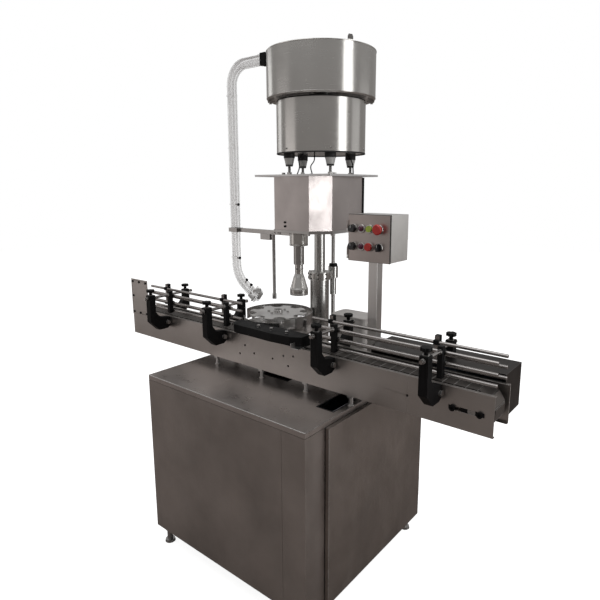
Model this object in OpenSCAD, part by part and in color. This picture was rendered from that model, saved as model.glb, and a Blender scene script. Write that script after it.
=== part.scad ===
// Capping machine: a bowl-fed single-head screw capper on a slat conveyor.
// Millimetres. X runs along the conveyor (bottles travel towards +X), the operator stands at -Y,
// Z is up. The origin is on the floor at the centre of the cabinet.

/* [Cabinet] */
// length of the cabinet along the conveyor
cab_l = 840; // [820:5:900]
// depth of the cabinet, operator side to back
cab_d = 792; // [780:4:840]
// height of the cabinet's top sheet above the floor
cab_top = 770; // [750:5:790]
// height of the cabinet's underside above the floor
cab_bottom = 80; // [60:5:110]

/* [Conveyor] */
// overall length of the slat conveyor
conv_l = 1840; // [1800:20:2400]
// width over the two side plates
conv_w = 136; // [130:1:140]
// height of a side plate
side_h = 130; // [126:1:132]
// width of one chain slat
slat_w = 82; // [60:2:84]
// number of slats in the chain loop
slat_count = 100; // [96:1:102]

/* [Star wheel] */
// radius of the circle the bottle centres travel on
pitch_r = 120; // [116:1:122]
// number of bottle pockets
pockets = 8; // [6:2:8]
// radius of one pocket, a little more than a bottle
pocket_r = 26; // [18:1:27]

/* [Head] */
// height of the underside of the plate that carries the bowl
plate_z = 1575; // [1560:5:1620]
// height of the head cover
cover_h = 213; // [205:1:220]
// radius of the sliding tube of the column
tube_r = 24; // [20:1:26]

/* [Bowl feeder] */
// outer radius of the sorting bowl
bowl_r = 218; // [190:2:220]
// height of the sorting bowl
bowl_h = 182; // [160:2:210]
// outer radius of the drive drum under the bowl
drum_r = 180; // [160:2:184]

/* [Control box] */
// width of the control box
box_w = 173; // [160:1:200]
// height of the control box
box_h = 167; // [160:1:200]

/* [Hidden] */
$fn = 48;
sheet = 2;
gap = 0.05;
// conveyor
conv_y = -68;
conv_top = 936;
conv_bottom = conv_top - side_h;
front_y = conv_y - conv_w / 2;
rear_y = conv_y + conv_w / 2;
side_t = 2.5;
flange = 14;
shaft_x = conv_l / 2 - 70;
shaft_r = 12.5;
chain_top = 934;
loop_r = 64;
shaft_z = chain_top - loop_r;
slat_t = 3;
mid_r = loop_r - slat_t / 2;
loop_len = 4 * shaft_x + 2 * PI * mid_r;
slat_pitch = loop_len / slat_count;
slat_l = slat_pitch - 2.6;
sprocket_r = loop_r - slat_t - 7;
bearing_t = 16;
// guide rails
rail_r = 6;
rail_zs = [960, 995, 1030];
rail_front_y = -110;
rail_rear_y = -26;
rail_end = conv_l / 2 - 5;
rail_start = 215;
rod_r = 6;
front_bracket_x = [-630, -240, 330, 740];
rear_bracket_x = [-790, -370, 245];
stand_x = 680;
front_rod_z = 1036;
rear_rod_z = 998;
bracket_t = 30;
bracket_reach = 104;
arm_t = 30;
clip_w = 16;
clip_t = 20;
clip_low = 950;
clip_high = 1052;
// star wheel
star_x = -107;
star_y = 60;
star_shaft_r = 10;
star_r = pitch_r + 6;
star_low_z = 950;
star_high_z = 992;
table_t = 6;
table_r = pitch_r + 58;
wall_r = pitch_r + pocket_r + 2;
// column and head
col_x = -15;
col_y = 236;
outer_r = 42;
outer_top = 1163;
screw_r = 8.5;
// direction and distance of the lift screw from the column
screw_a = 75;
screw_d = 77;
screw_x = col_x + screw_d * cos(screw_a);
screw_y = col_y + screw_d * sin(screw_a);
spin_x = star_x + pitch_r;
spin_y = star_y;
cover_x0 = -65;
cover_x1 = 180;
cover_y0 = 0;
cover_y1 = 275;
cover_c = 64;
cover_z = plate_z - cover_h;
base_t = 10;
base_z = cover_z - base_t;
plate_t = 8;
plate_x0 = -168;
plate_x1 = 223;
plate_y0 = -9;
plate_y1 = 329;
quill_r = 22;
stem_r = 12;
neck_z = 1219;
chuck_z = 1091;
chuck_r = 38;
pulley_z = base_z + 44;
pulley_h = 22;
spin_pulley_r = 35;
motor_pulley_r = 28;
motor_x = 110;
motor_y = 140;
motor_r = 50;
// bowl feeder
bowl_x = 50;
bowl_y = 160;
drum_z = 1667;
drum_h = 199;
bowl_z = drum_z + drum_h + 8;
bowl_foot_r = 148;
// chute
chute_y = star_y;
chute_w = 20;
chute_t = 38;
chute_x = -362;
chute_top = bowl_z + bowl_h - 11;
chute_bend_r = 82;
chute_low_z = 1190;
chute_low_r = 110;
chute_turn = 55;
chute_run = 100;
chute_start = -156;
arm_z = base_z - 9;
// control box
box_x = 394;
box_y0 = -4;
box_d = 128;
box_z = 1270;
door_t = 3;
post_x = 385;
post_y = 60;
post_w = 38;
knob_x = [-64, -29, 5, 46];
row_z = [box_z + 54, box_z + 118];
// X of the cap sensor's rod
sensor_x = -128;

// ---------- helpers ----------

// a box given by two opposite corners
module block(a, b) {
  translate(a)
    cube(b - a);
}

// a vertical round bar
module bar(x, y, z, r, h) {
  translate([x, y, z])
    cylinder(r = r, h = h);
}

// a round bar along Y, starting at [x, y, z]
module bar_y(x, y, z, r, h) {
  translate([x, y, z])
    rotate([-90, 0, 0])
      cylinder(r = r, h = h);
}

// a round bar along X, starting at [x, y, z]
module bar_x(x, y, z, r, h) {
  translate([x, y, z])
    rotate([0, 90, 0])
      cylinder(r = r, h = h);
}

// a vertical tube
module tube(x, y, z, r, wall, h) {
  difference() {
    bar(x, y, z, r, h);
    bar(x, y, z - 1, r - wall, h + 2);
  }
}

// a round bar along X whose ends are chamfered
module round_rod(x, y, z, r, length) {
  c = 1.5;
  translate([x, y, z])
    rotate([0, 90, 0])
      rotate_extrude()
        polygon([[0, 0], [r - c, 0], [r, c], [r, length - c], [r - c, length], [0, length]]);
}

// a socket-head screw whose head sits on z = 0 and points along +Z
module cap_screw(head_r, head_h) {
  difference() {
    cylinder(r = head_r, h = head_h);
    translate([0, 0, head_h * 0.4])
      cylinder(r = head_r * 0.5, h = head_h, $fn = 6);
  }
}

// the same screw facing the operator, its head on the face at y
module front_screw(x, y, z, head_r = 5, head_h = 4) {
  translate([x, y, z])
    rotate([90, 0, 0])
      cap_screw(head_r, head_h);
}

// a rectangle with rounded corners, from corner a to corner b
module round_rect(a, b, r) {
  corners = [[b.x - r, b.y - r], [a.x + r, b.y - r], [a.x + r, a.y + r], [b.x - r, a.y + r]];
  polygon([
    for (i = [0 : 3], step = [0 : 4])
      corners[i] + r * [cos(90 * i + 22.5 * step), sin(90 * i + 22.5 * step)]
  ]);
}

// ---------- cabinet ----------

frame_w = 30;
corner_w = 102;
// height of the bearers' top face inside the cabinet
bearer_z = 545;

module cabinet_frame() {
  inset = sheet + 1;
  x1 = cab_l / 2 - inset;
  y1 = cab_d / 2 - inset;
  z1 = cab_top - sheet - 0.5;
  color([0.42, 0.42, 0.43])
    union() {
      for (sx = [-1, 1], sy = [-1, 1])
        translate([sx * (x1 - frame_w / 2), sy * (y1 - frame_w / 2), (cab_bottom + z1) / 2])
          cube([frame_w, frame_w, z1 - cab_bottom], center = true);
      for (z = [cab_bottom, z1 - frame_w])
        for (s = [-1, 1]) {
          translate([-x1 + 1, s * (y1 - frame_w / 2) - frame_w / 2, z])
            cube([2 * x1 - 2, frame_w, frame_w]);
          translate([s * (x1 - frame_w / 2) - frame_w / 2, -y1 + 1, z])
            cube([frame_w, 2 * y1 - 2, frame_w]);
        }
      // the bottom tray, welded to the lower rails
      block([-x1 + 1, -y1 + 1, cab_bottom + 4], [x1 - 1, y1 - 1, cab_bottom + 6]);
      // two bearers under the star wheel's gearbox, and the rails they stand on
      for (y = [star_y - 60, star_y + 60])
        block([-x1 + 1, y - frame_w / 2, bearer_z - 25], [x1 - 1, y + frame_w / 2, bearer_z]);
      for (x = [-x1, x1 - frame_w])
        block([x, -y1 + 1, bearer_z - frame_w], [x + frame_w, y1 - 1, bearer_z]);
    }
}

// opposite corners of the service opening beside the conveyor and the cable opening under it
top_openings = [[[322, -214], [396, -20]], [[-80, -96], [80, -36]]];

module cabinet_top() {
  x1 = cab_l / 2;
  y1 = cab_d / 2;
  lip = 20;
  color([0.72, 0.70, 0.67])
    difference() {
      block([-x1, -y1, cab_top - lip], [x1, y1, cab_top]);
      block([-x1 + sheet, -y1 + sheet, cab_top - lip - 1], [x1 - sheet, y1 - sheet, cab_top - sheet]);
      for (opening = top_openings)
        block(concat(opening[0], cab_top - 5), concat(opening[1], cab_top + 1));
      bar(star_x, star_y, cab_top - 5, 24, 10);
      bar(200, 195, cab_top - 5, 20, 10);
    }
}

// a flat sheet with a folded edge all round, standing in the XZ plane behind y = 0
module pan(w, h, fold = 12) {
  difference() {
    cube([w, fold, h]);
    translate([sheet, sheet, sheet])
      cube([w - 2 * sheet, fold, h - 2 * sheet]);
  }
}

panel_z0 = cab_bottom;
panel_h = cab_top - 21 - cab_bottom;
pan_fold = 2.4;

module front_panel() {
  color([0.62, 0.60, 0.58])
    translate([-cab_l / 2, -cab_d / 2, panel_z0])
      pan(cab_l - corner_w - 1, panel_h, pan_fold);
}

module rear_panel() {
  color([0.62, 0.60, 0.58])
    translate([cab_l / 2 - corner_w - 1, cab_d / 2, panel_z0])
      rotate([0, 0, 180])
        pan(cab_l - 2 * corner_w - 2, panel_h, pan_fold);
}

module left_panel() {
  color([0.62, 0.60, 0.58])
    translate([-cab_l / 2, cab_d / 2 - corner_w - 1, panel_z0])
      rotate([0, 0, -90])
        pan(cab_d - corner_w - 5, panel_h, pan_fold);
}

// an L-shaped cover sheet on a corner post; w1 runs along X and w2 along Y
module corner_sheet(w1, w2) {
  translate([0, 0, panel_z0])
    linear_extrude(panel_h)
      polygon([[0, 0], [-w1, 0], [-w1, pan_fold], [-pan_fold, pan_fold], [-pan_fold, w2], [0, w2]]);
}

door_y0 = -cab_d / 2 + corner_w + 3;
door_y1 = cab_d / 2 - 15;
door_axis_x = cab_l / 2 + 8;
door_axis_y = door_y1 + 6;
knuckle_zs = [panel_z0 + 90, panel_z0 + panel_h - 150];

module corner_covers() {
  x1 = cab_l / 2;
  y1 = cab_d / 2;
  color([0.58, 0.56, 0.54]) {
    // fixed halves of the door's hinges
    for (z = knuckle_zs)
      union() {
        bar(door_axis_x, door_axis_y, z + 60.3, 5, 30);
        block([x1 - 1, door_axis_y - 1, z + 60.3], [door_axis_x, y1, z + 90]);
      }
    translate([x1, -y1, 0])
      corner_sheet(corner_w, corner_w);
    translate([x1, y1, 0])
      mirror([0, 1, 0])
        corner_sheet(corner_w, 12);
    translate([-x1, y1, 0])
      mirror([1, 0, 0])
        mirror([0, 1, 0])
          corner_sheet(corner_w, corner_w);
  }
}

module side_door() {
  color([0.60, 0.58, 0.56])
    union() {
      // pan-shaped leaf
      difference() {
        block([cab_l / 2 + 0.5, door_y0, panel_z0], [cab_l / 2 + 16, door_y1, panel_z0 + panel_h]);
        block([cab_l / 2, door_y0 + sheet, panel_z0 + sheet],
              [cab_l / 2 + 16 - sheet, door_y1 - sheet, panel_z0 + panel_h - sheet]);
      }
      // hinge knuckles
      for (z = knuckle_zs) {
        bar(door_axis_x, door_axis_y, z, 5, 60);
        block([door_axis_x - 2, door_y1 - 2, z], [door_axis_x + 2, door_axis_y, z + 60]);
      }
    }
}

module levelling_feet() {
  color([0.35, 0.35, 0.36])
    for (sx = [-1, 1], sy = [-1, 1])
      translate([sx * (cab_l / 2 - 36), sy * (cab_d / 2 - 36), 0])
        union() {
          cylinder(r1 = 22, r2 = 20, h = 10);
          cylinder(r = 12, h = cab_bottom - 0.2);
          translate([0, 0, 52])
            cylinder(r = 17, h = 10, $fn = 6);
        }
}

// ---------- conveyor ----------

// the folded profile of a side plate, extruded along X; the outer face is y = 0
module side_channel() {
  rotate([90, 0, 90])
    linear_extrude(conv_l)
      polygon([
        [0, conv_bottom], [flange, conv_bottom], [flange, conv_bottom + side_t],
        [side_t, conv_bottom + side_t], [side_t, conv_top - side_t], [flange, conv_top - side_t],
        [flange, conv_top], [0, conv_top]
      ]);
}

// X and Z of the small holes in the front side plate
service_holes = [
  [-146, 851], [-115, 892], [-63, 868], [40, 867], [97, 890], [121, 854], [147, 898], [636, 868]
];

module side_plate_front() {
  color([0.66, 0.64, 0.62])
    difference() {
      translate([-conv_l / 2, front_y, 0])
        side_channel();
      for (p = service_holes)
        bar_y(p.x, front_y - 1, p.y, 4.5, 5);
      // take-up slot for the end shaft's bearing
      block([shaft_x - 72, front_y - 1, shaft_z - 7], [shaft_x + 42, front_y + 4, shaft_z + 7]);
      // butt joint between the two lengths of sheet
      block([635.6, front_y - 1, conv_bottom - 1], [636.4, front_y + 0.6, conv_top + 1]);
    }
}

module side_plate_rear() {
  color([0.66, 0.64, 0.62])
    difference() {
      translate([-conv_l / 2, rear_y, 0])
        mirror([0, 1, 0])
          side_channel();
      bar_y(shaft_x, rear_y - 4, shaft_z, shaft_r + 2, 8);
    }
}

// depth of the driving knuckle under each slat
knuckle_h = 4;
tie_xs = [-760, -520, -280, -40, 200, 440, 760];
// the slats' knuckles run just above the wear strips
strip_top = chain_top - slat_t - knuckle_h - 0.1;
strip_y = [conv_y - slat_w / 2 + 12, conv_y + slat_w / 2 - 12];
// X of the conveyor's stub legs
foot_xs = [-303, -32, 200, 408];

// ties, wear strips and the stub legs that stand on the cabinet
module conveyor_bed() {
  y0 = front_y + side_t;
  y1 = rear_y - side_t;
  color([0.60, 0.60, 0.60])
    union() {
      for (x = tie_xs)
        bar_y(x, y0, shaft_z - 18, 8, y1 - y0);
      for (x = tie_xs)
        block([x - 10, y0, strip_top - 20], [x + 10, y1, strip_top - 12]);
      for (y = strip_y)
        block([-shaft_x + 40, y - 5, strip_top - 13], [shaft_x - 40, y + 5, strip_top]);
    }
  color([0.60, 0.60, 0.60])
    for (x = foot_xs, y = [front_y + 12, rear_y - 12])
      union() {
        bar(x, y, cab_top, 8, conv_bottom - cab_top);
        bar(x, y, cab_top, 12, 4);
        if (y < conv_y)
          block([x - 10, front_y + 2, conv_bottom - 8], [x + 10, rear_y - 2, conv_bottom - 1]);
      }
}

// position and heading of the chain at distance s along the loop
function loop_pos(s) =
  let (
    straight = 2 * shaft_x,
    arc = PI * mid_r
  )
  s < straight ? [-shaft_x + s, shaft_z + mid_r, 0] :
  s < straight + arc ?
    let (a = (s - straight) / mid_r * 180 / PI)
    [shaft_x + mid_r * sin(a), shaft_z + mid_r * cos(a), a] :
  s < 2 * straight + arc ? [shaft_x - (s - straight - arc), shaft_z - mid_r, 180] :
    let (a = (s - 2 * straight - arc) / mid_r * 180 / PI)
    [-shaft_x - mid_r * sin(a), shaft_z - mid_r * cos(a), 180 + a];

// one slat with the knuckle the sprocket drives, as a single profile
module slat() {
  h = slat_t / 2;
  rotate([90, 0, 0])
    translate([0, 0, -slat_w / 2])
      linear_extrude(slat_w)
        polygon([
          [-slat_l / 2, -h], [-5, -h], [-3.5, -h - knuckle_h], [3.5, -h - knuckle_h], [5, -h],
          [slat_l / 2, -h],
          [slat_l / 2, h - 0.8], [slat_l / 2 - 0.8, h], [-slat_l / 2 + 0.8, h], [-slat_l / 2, h - 0.8]
        ]);
}

module slat_chain() {
  color([0.70, 0.70, 0.70])
    for (i = [0 : slat_count - 1]) {
      p = loop_pos((i + 0.5) * slat_pitch);
      translate([p.x, conv_y, p.y])
        rotate([0, p.z, 0])
          slat();
    }
}

// a shaft from y0 to y1 with the two pierced discs that carry the chain
module end_shaft(y0, y1) {
  bar_y(0, y0, 0, shaft_r, y1 - y0);
  for (y = [conv_y - 22, conv_y + 10])
    difference() {
      bar_y(0, y, 0, sprocket_r, 12);
      for (a = [0 : 60 : 300])
        rotate([0, a, 0])
          bar_y(sprocket_r * 0.62, y - 1, 0, 9, 14);
    }
}

module drive_shaft() {
  color([0.55, 0.55, 0.56])
    translate([shaft_x, 0, shaft_z])
      union()
        end_shaft(front_y + side_t + 1, 96);
}

module idler_shaft() {
  color([0.55, 0.55, 0.56])
    translate([-shaft_x, 0, shaft_z])
      union()
        end_shaft(front_y + side_t + 1, rear_y - side_t - 1);
}

module bearing_block(x, y) {
  difference() {
    block([x - 34, y, shaft_z - 30], [x + 34, y + bearing_t, shaft_z + 30]);
    bar_y(x, y - 1, shaft_z, shaft_r + gap, bearing_t + 2);
  }
}

module shaft_bearings() {
  color([0.16, 0.16, 0.17]) {
    for (x = [-shaft_x, shaft_x]) {
      bearing_block(x, front_y + side_t);
      bearing_block(x, rear_y - side_t - bearing_t);
    }
  }
  color([0.16, 0.16, 0.17])
    for (x = [shaft_x - 58, shaft_x + 28])
      front_screw(x, front_y, shaft_z, 10, 7);
}

module conveyor_gearmotor() {
  gx = shaft_x;
  my = 80;
  color([0.30, 0.33, 0.36])
    difference() {
      union() {
        block([gx - 45, 40, shaft_z - 40], [gx + 45, 118, shaft_z + 45]);
        bar_x(gx - 60, my, shaft_z, 40, 20);
        bar_x(gx - 270, my, shaft_z, 44, 215);
        for (i = [0 : 7])
          bar_x(gx - 250 + i * 22, my, shaft_z, 48, 6);
        block([gx - 200, my - 22, shaft_z + 40], [gx - 130, my + 22, shaft_z + 66]);
        for (x = [gx - 34, gx + 34], z = [shaft_z - 30, shaft_z + 30])
          bar_y(x, rear_y, z, 6, 41);
      }
      bar_y(gx, 30, shaft_z, shaft_r + gap, 100);
    }
}

// X range of the cover over the conveyor's drive; it stops just short of the control post
cover_left = post_x + post_w / 2 + 6;
cover_right = 905;
cover_back = 150;

module drive_cover() {
  z0 = conv_bottom + 6;
  z1 = 962;
  color([0.60, 0.58, 0.56])
    difference() {
      block([cover_left, rear_y, z0], [cover_right, cover_back, z1]);
      block([cover_left + sheet, rear_y - 1, z0 - 1],
            [cover_right - sheet, cover_back - sheet, z1 - sheet]);
    }
}

module infeed_guard() {
  x0 = -conv_l / 2;
  color([0.70, 0.69, 0.68])
    union() {
      block([x0, front_y - 2.5, 905], [x0 + 135, front_y, 1085]);
      for (x = [x0 + 14, x0 + 68, x0 + 121], z = [918, 1072])
        front_screw(x, front_y - 2.5, z, 5, 3);
      front_screw(x0 + 14, front_y - 2.5, 1000, 5, 3);
    }
}

// ---------- guide rails ----------

// three rods from x0 to x1 at y, with clips and cross rods; side is -1 for the operator's side
module rail_set(x0, x1, y, side, rod_z, rod_xs) {
  for (z = rail_zs)
    round_rod(x0, y, z, rail_r, x1 - x0);
  for (x = rod_xs) {
    difference() {
      block([x - clip_w / 2, y + min(0, side * clip_t), clip_low],
            [x + clip_w / 2, y + max(0, side * clip_t), clip_high]);
      for (z = rail_zs)
        bar_x(x - clip_w, y, z, rail_r, 2 * clip_w);
    }
    reach = side < 0 ? front_y - bracket_reach - 18 : rear_y + bracket_reach + 18;
    y0 = y + side * clip_t;
    bar_y(x, min(y0, reach), rod_z, rod_r, abs(reach - y0));
  }
}

module rails_infeed_front() {
  color([0.78, 0.78, 0.78])
    union()
      rail_set(-rail_end, -rail_start, rail_front_y, -1, front_rod_z, [-630, -240]);
}

module rails_infeed_rear() {
  color([0.78, 0.78, 0.78])
    union()
      rail_set(-rail_end, -rail_start - 30, rail_rear_y, 1, rear_rod_z, [-790, -370]);
}

module rails_outfeed_front() {
  color([0.78, 0.78, 0.78])
    union()
      rail_set(rail_start, rail_end, rail_front_y, -1, front_rod_z, [330, 740]);
}

module rails_outfeed_rear() {
  color([0.78, 0.78, 0.78])
    union()
      rail_set(rail_start - 60, rail_end, rail_rear_y, 1, rear_rod_z, [245, stand_x]);
}

// profile of a bracket: u runs outward from the side plate, v is height
module bracket_profile(top) {
  r = bracket_reach;
  polygon([
    [0, 893], [16, 883], [60, 883], [r, 926], [r, top], [r - arm_t, top], [r - arm_t, 970],
    [54, 944], [0, 936]
  ]);
}

// a bracket on the operator's side at x; mirrored for the back
module bracket(x, top, rod_z) {
  difference() {
    translate([x - bracket_t / 2, 0, 0])
      rotate([90, 0, 90])
        linear_extrude(bracket_t)
          mirror([1, 0])
            bracket_profile(top);
    bar_y(x, -bracket_reach - 1, rod_z, rod_r + gap, arm_t + 2);
  }
}

module rail_brackets() {
  front_top = front_rod_z + 14;
  rear_top = rear_rod_z + 14;
  color([0.06, 0.06, 0.065]) {
    for (x = front_bracket_x)
      translate([0, front_y, 0])
        bracket(x, front_top, front_rod_z);
    for (x = rear_bracket_x)
      translate([0, rear_y, 0])
        mirror([0, 1, 0])
          bracket(x, rear_top, rear_rod_z);
    // the short stand on the drive cover
    difference() {
      block([stand_x - 15, rear_y + 74, 962], [stand_x + 15, rear_y + bracket_reach, rear_top]);
      bar_y(stand_x, rear_y + 70, rear_rod_z, rod_r + gap, 40);
    }
  }
}

// a T-shaped clamp knob standing on z
module clamp_knob(x, y, z) {
  translate([x, y, z])
    union() {
      cylinder(r = 7, h = 14);
      translate([0, 0, 14])
        difference() {
          cylinder(r = 18, h = 11);
          for (a = [0 : 60 : 300])
            rotate([0, 0, a])
              translate([19, 0, -1])
                cylinder(r = 4, h = 13);
        }
    }
}

module bracket_knobs() {
  yf = front_y - bracket_reach + arm_t / 2;
  yr = rear_y + bracket_reach - arm_t / 2;
  color([0.05, 0.05, 0.055]) {
    for (x = front_bracket_x)
      clamp_knob(x, yf, front_rod_z + 14);
    for (x = concat(rear_bracket_x, [stand_x]))
      clamp_knob(x, yr, rear_rod_z + 14);
  }
}

// ---------- star wheel ----------

// a plate with bottle pockets round its rim, its underside on z
module pocket_plate(z, t, r) {
  translate([star_x, star_y, z])
    linear_extrude(t)
      difference() {
        circle(r = r);
        for (i = [0 : pockets - 1])
          rotate(i * 360 / pockets)
            translate([pitch_r, 0])
              circle(r = pocket_r);
      }
}

module star_table() {
  color([0.70, 0.69, 0.67])
    union() {
      difference() {
        bar(star_x, star_y, conv_top - table_t, table_r, table_t);
        block([star_x - 300, -400, conv_top - table_t - 1], [star_x + 300, rear_y + 1, conv_top + 1]);
        bar(star_x, star_y, conv_top - table_t - 1, star_shaft_r + 4, table_t + 2);
        bar(col_x, col_y, conv_top - table_t - 1, outer_r + 3, table_t + 2);
      }
      for (a = [20, 95, 160])
        bar(star_x + 160 * cos(a), star_y + 160 * sin(a), cab_top, 10, conv_top - table_t - cab_top + 1);
    }
}

module star_shaft() {
  color([0.55, 0.55, 0.56])
    union() {
      bar(star_x, star_y, 660, star_shaft_r, star_high_z - 660 + 20);
      bar(star_x, star_y, star_low_z - 8, 28, 8);
    }
}

module star_wheel() {
  color([0.80, 0.80, 0.80])
    difference() {
      union() {
        pocket_plate(star_low_z, 8, star_r);
        bar(star_x, star_y, star_low_z + 7.5, 30, star_high_z - star_low_z - 7);
        pocket_plate(star_high_z, 5, star_r);
        // hand nut that holds the plates down
        bar(star_x, star_y, star_high_z + 4.5, 20, 12);
      }
      bar(star_x, star_y, star_low_z - 1, star_shaft_r, star_high_z - star_low_z + 30);
    }
}

// underside and height of the black guide block in front of the star wheel
guide_z = 940;
guide_h = 42;

module guide_front() {
  color([0.07, 0.07, 0.075])
    union() {
      difference() {
        translate([0, 0, guide_z])
          linear_extrude(guide_h)
            difference() {
              polygon([
                [-178, front_y - 2], [-150, front_y - 26], [60, front_y - 34], [150, front_y - 26],
                [192, front_y - 4], [192, -88], [-178, -88]
              ]);
              translate([star_x, star_y])
                circle(r = wall_r + 1);
            }
        // relief under the block so that it clears the side plate's joint
        block([-200, front_y - 60, guide_z - 1], [200, front_y - 1, guide_z + 8]);
      }
      for (x = [-40, 30, 110])
        translate([x, front_y + 6, guide_z + guide_h])
          cap_screw(7, 6);
      // feet that carry the block on the side plate's flange
      for (x = [-140, 0, 150])
        block([x - 12, front_y + 1, conv_top], [x + 12, front_y + 12, guide_z + 1]);
    }
}

module guide_rear() {
  a0 = -20;
  a1 = 200;
  color([0.74, 0.73, 0.72])
    union() {
      translate([star_x, star_y, 955])
        rotate([0, 0, a0])
          rotate_extrude(angle = a1 - a0, $fn = 96)
            translate([wall_r, 0])
              square([3, 46]);
      for (a = [0, 100, 180])
        translate([star_x, star_y, conv_top])
          rotate([0, 0, a])
            union() {
              translate([wall_r + 7.5, 0, 0])
                cylinder(r = 6, h = 50);
              translate([wall_r + 2, -5, 30])
                cube([4, 10, 10]);
            }
    }
}

module index_gearmotor() {
  z0 = bearer_z;
  color([0.28, 0.33, 0.38])
    difference() {
      union() {
        block([star_x - 70, star_y - 70, z0], [star_x + 70, star_y + 70, z0 + 120]);
        bar(star_x, star_y, z0 + 119, 34, 20);
        bar_x(star_x + 69, star_y, z0 + 60, 50, 20);
        bar_x(star_x + 88, star_y, z0 + 60, 62, 200);
        for (i = [0 : 6])
          bar_x(star_x + 104 + i * 24, star_y, z0 + 60, 66, 7);
      }
      bar(star_x, star_y, 658, star_shaft_r + gap, 60);
    }
}

module junction_box() {
  a = [115, 145];
  b = [290, 250];
  color([0.68, 0.67, 0.65])
    union() {
      translate([0, 0, cab_top])
        linear_extrude(234)
          difference() {
            round_rect(a, b, 22);
            round_rect(a + [sheet, sheet], b - [sheet, sheet], 20);
          }
      translate([0, 0, cab_top + 233])
        linear_extrude(6)
          round_rect(a - [2, 2], b + [2, 2], 24);
      for (y = [a.y - 14, b.y - 4])
        block([a.x + 40, y, cab_top], [b.x - 40, y + 18, cab_top + 3]);
    }
}

// ---------- column ----------

module column_outer() {
  lug_z = outer_top - 34;
  color([0.62, 0.62, 0.62])
    difference() {
      union() {
        bar(col_x, col_y, cab_top, 74, 14);
        bar(col_x, col_y, cab_top, outer_r, outer_top - cab_top);
        bar(col_x, col_y, lug_z, outer_r + 8, 34);
        // lug that holds the lift screw's nut
        translate([col_x, col_y, lug_z])
          rotate([0, 0, screw_a])
            translate([outer_r - 8, -16, 1])
              cube([screw_d - outer_r + 8, 32, 30]);
        bar(screw_x, screw_y, lug_z - 78, 14, 80);
        bar(screw_x, screw_y, lug_z - 1, 22, 52);
        for (a = [45 : 90 : 315])
          translate([col_x + 60 * cos(a), col_y + 60 * sin(a), cab_top + 13.5])
            cap_screw(8, 7);
        for (a = [-150, -100, -50])
          translate([col_x + 45 * cos(a), col_y + 45 * sin(a), outer_top - 0.5])
            cap_screw(4, 5);
      }
      bar(col_x, col_y, cab_top + 20, tube_r + gap, outer_top);
      bar(screw_x, screw_y, lug_z - 100, screw_r + gap, 200);
    }
}

module column_inner() {
  color([0.80, 0.80, 0.80])
    tube(col_x, col_y, cab_top + 80, tube_r, 4, plate_z - cab_top - 80);
}

// height of the lift screw's lower end
screw_low = 880;

module lift_screw() {
  color([0.40, 0.40, 0.41])
    union() {
      bar(screw_x, screw_y, screw_low, screw_r, base_z + base_t + 12 - screw_low);
      bar(screw_x, screw_y, base_z + base_t + 0.5, screw_r + 5, 10);
    }
}

// ---------- head ----------

// outline of the head cover, seen from above, shrunk by e
module head_outline(e) {
  polygon([
    [cover_x0 + e, cover_y0 + e],
    [cover_x1 - cover_c - e * 0.4, cover_y0 + e],
    [cover_x1 - e, cover_y0 + cover_c + e * 0.4],
    [cover_x1 - e, cover_y1 - e],
    [cover_x0 + e, cover_y1 - e]
  ]);
}

module head_base() {
  color([0.66, 0.65, 0.63])
    difference() {
      union() {
        translate([0, 0, base_z])
          linear_extrude(base_t)
            head_outline(-3);
        bar(col_x, col_y, base_z + 2, tube_r + 11, 46);
        block([screw_x - 15, cover_y1 - 1, base_z], [screw_x + 15, screw_y + 16, base_z + base_t]);
      }
      bar(col_x, col_y, base_z - 1, tube_r, 60);
      bar(screw_x, screw_y, base_z - 1, screw_r + gap, 30);
      bar(spin_x, spin_y, base_z - 1, 44, 30);
    }
}

module head_cover() {
  color([0.72, 0.71, 0.70])
    difference() {
      translate([0, 0, cover_z])
        linear_extrude(cover_h)
          head_outline(0);
      translate([0, 0, cover_z - 1])
        linear_extrude(cover_h + 2)
          head_outline(sheet);
    }
}

module head_plate() {
  color([0.66, 0.65, 0.64])
    translate([0, 0, plate_z])
      linear_extrude(plate_t)
        round_rect([plate_x0, plate_y0], [plate_x1, plate_y1], 6);
}

module head_motor() {
  z0 = pulley_z + pulley_h + 12;
  color([0.30, 0.34, 0.38])
    difference() {
      union() {
        bar(motor_x, motor_y, z0, motor_r, plate_z - z0);
        for (i = [0 : 4])
          bar(motor_x, motor_y, z0 + 18 + i * 20, motor_r + 4, 6);
      }
      bar(motor_x, motor_y, z0 - 1, 9 + gap, 30);
    }
}

module motor_pulley() {
  color([0.45, 0.45, 0.46])
    union() {
      bar(motor_x, motor_y, pulley_z, motor_pulley_r, pulley_h);
      bar(motor_x, motor_y, pulley_z - 2, motor_pulley_r + 4, 2.2);
      bar(motor_x, motor_y, pulley_z + pulley_h - 0.2, motor_pulley_r + 4, 2.2);
      bar(motor_x, motor_y, pulley_z, 9, pulley_h + 36);
    }
}

module spindle_pulley() {
  color([0.45, 0.45, 0.46])
    difference() {
      union() {
        bar(spin_x, spin_y, pulley_z, spin_pulley_r, pulley_h);
        bar(spin_x, spin_y, pulley_z - 2, spin_pulley_r + 4, 2.2);
        bar(spin_x, spin_y, pulley_z + pulley_h - 0.2, spin_pulley_r + 4, 2.2);
      }
      bar(spin_x, spin_y, pulley_z - 3, quill_r + gap, pulley_h + 6);
    }
}

// the outline of the belt, e millimetres outside the pulleys
module belt_loop(e) {
  hull() {
    translate([spin_x, spin_y])
      circle(r = spin_pulley_r + e, $fn = 64);
    translate([motor_x, motor_y])
      circle(r = motor_pulley_r + e, $fn = 64);
  }
}

module drive_belt() {
  color([0.07, 0.07, 0.07])
    translate([0, 0, pulley_z + 1])
      linear_extrude(pulley_h - 2)
        difference() {
          belt_loop(3.4);
          belt_loop(0.2);
        }
}

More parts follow.
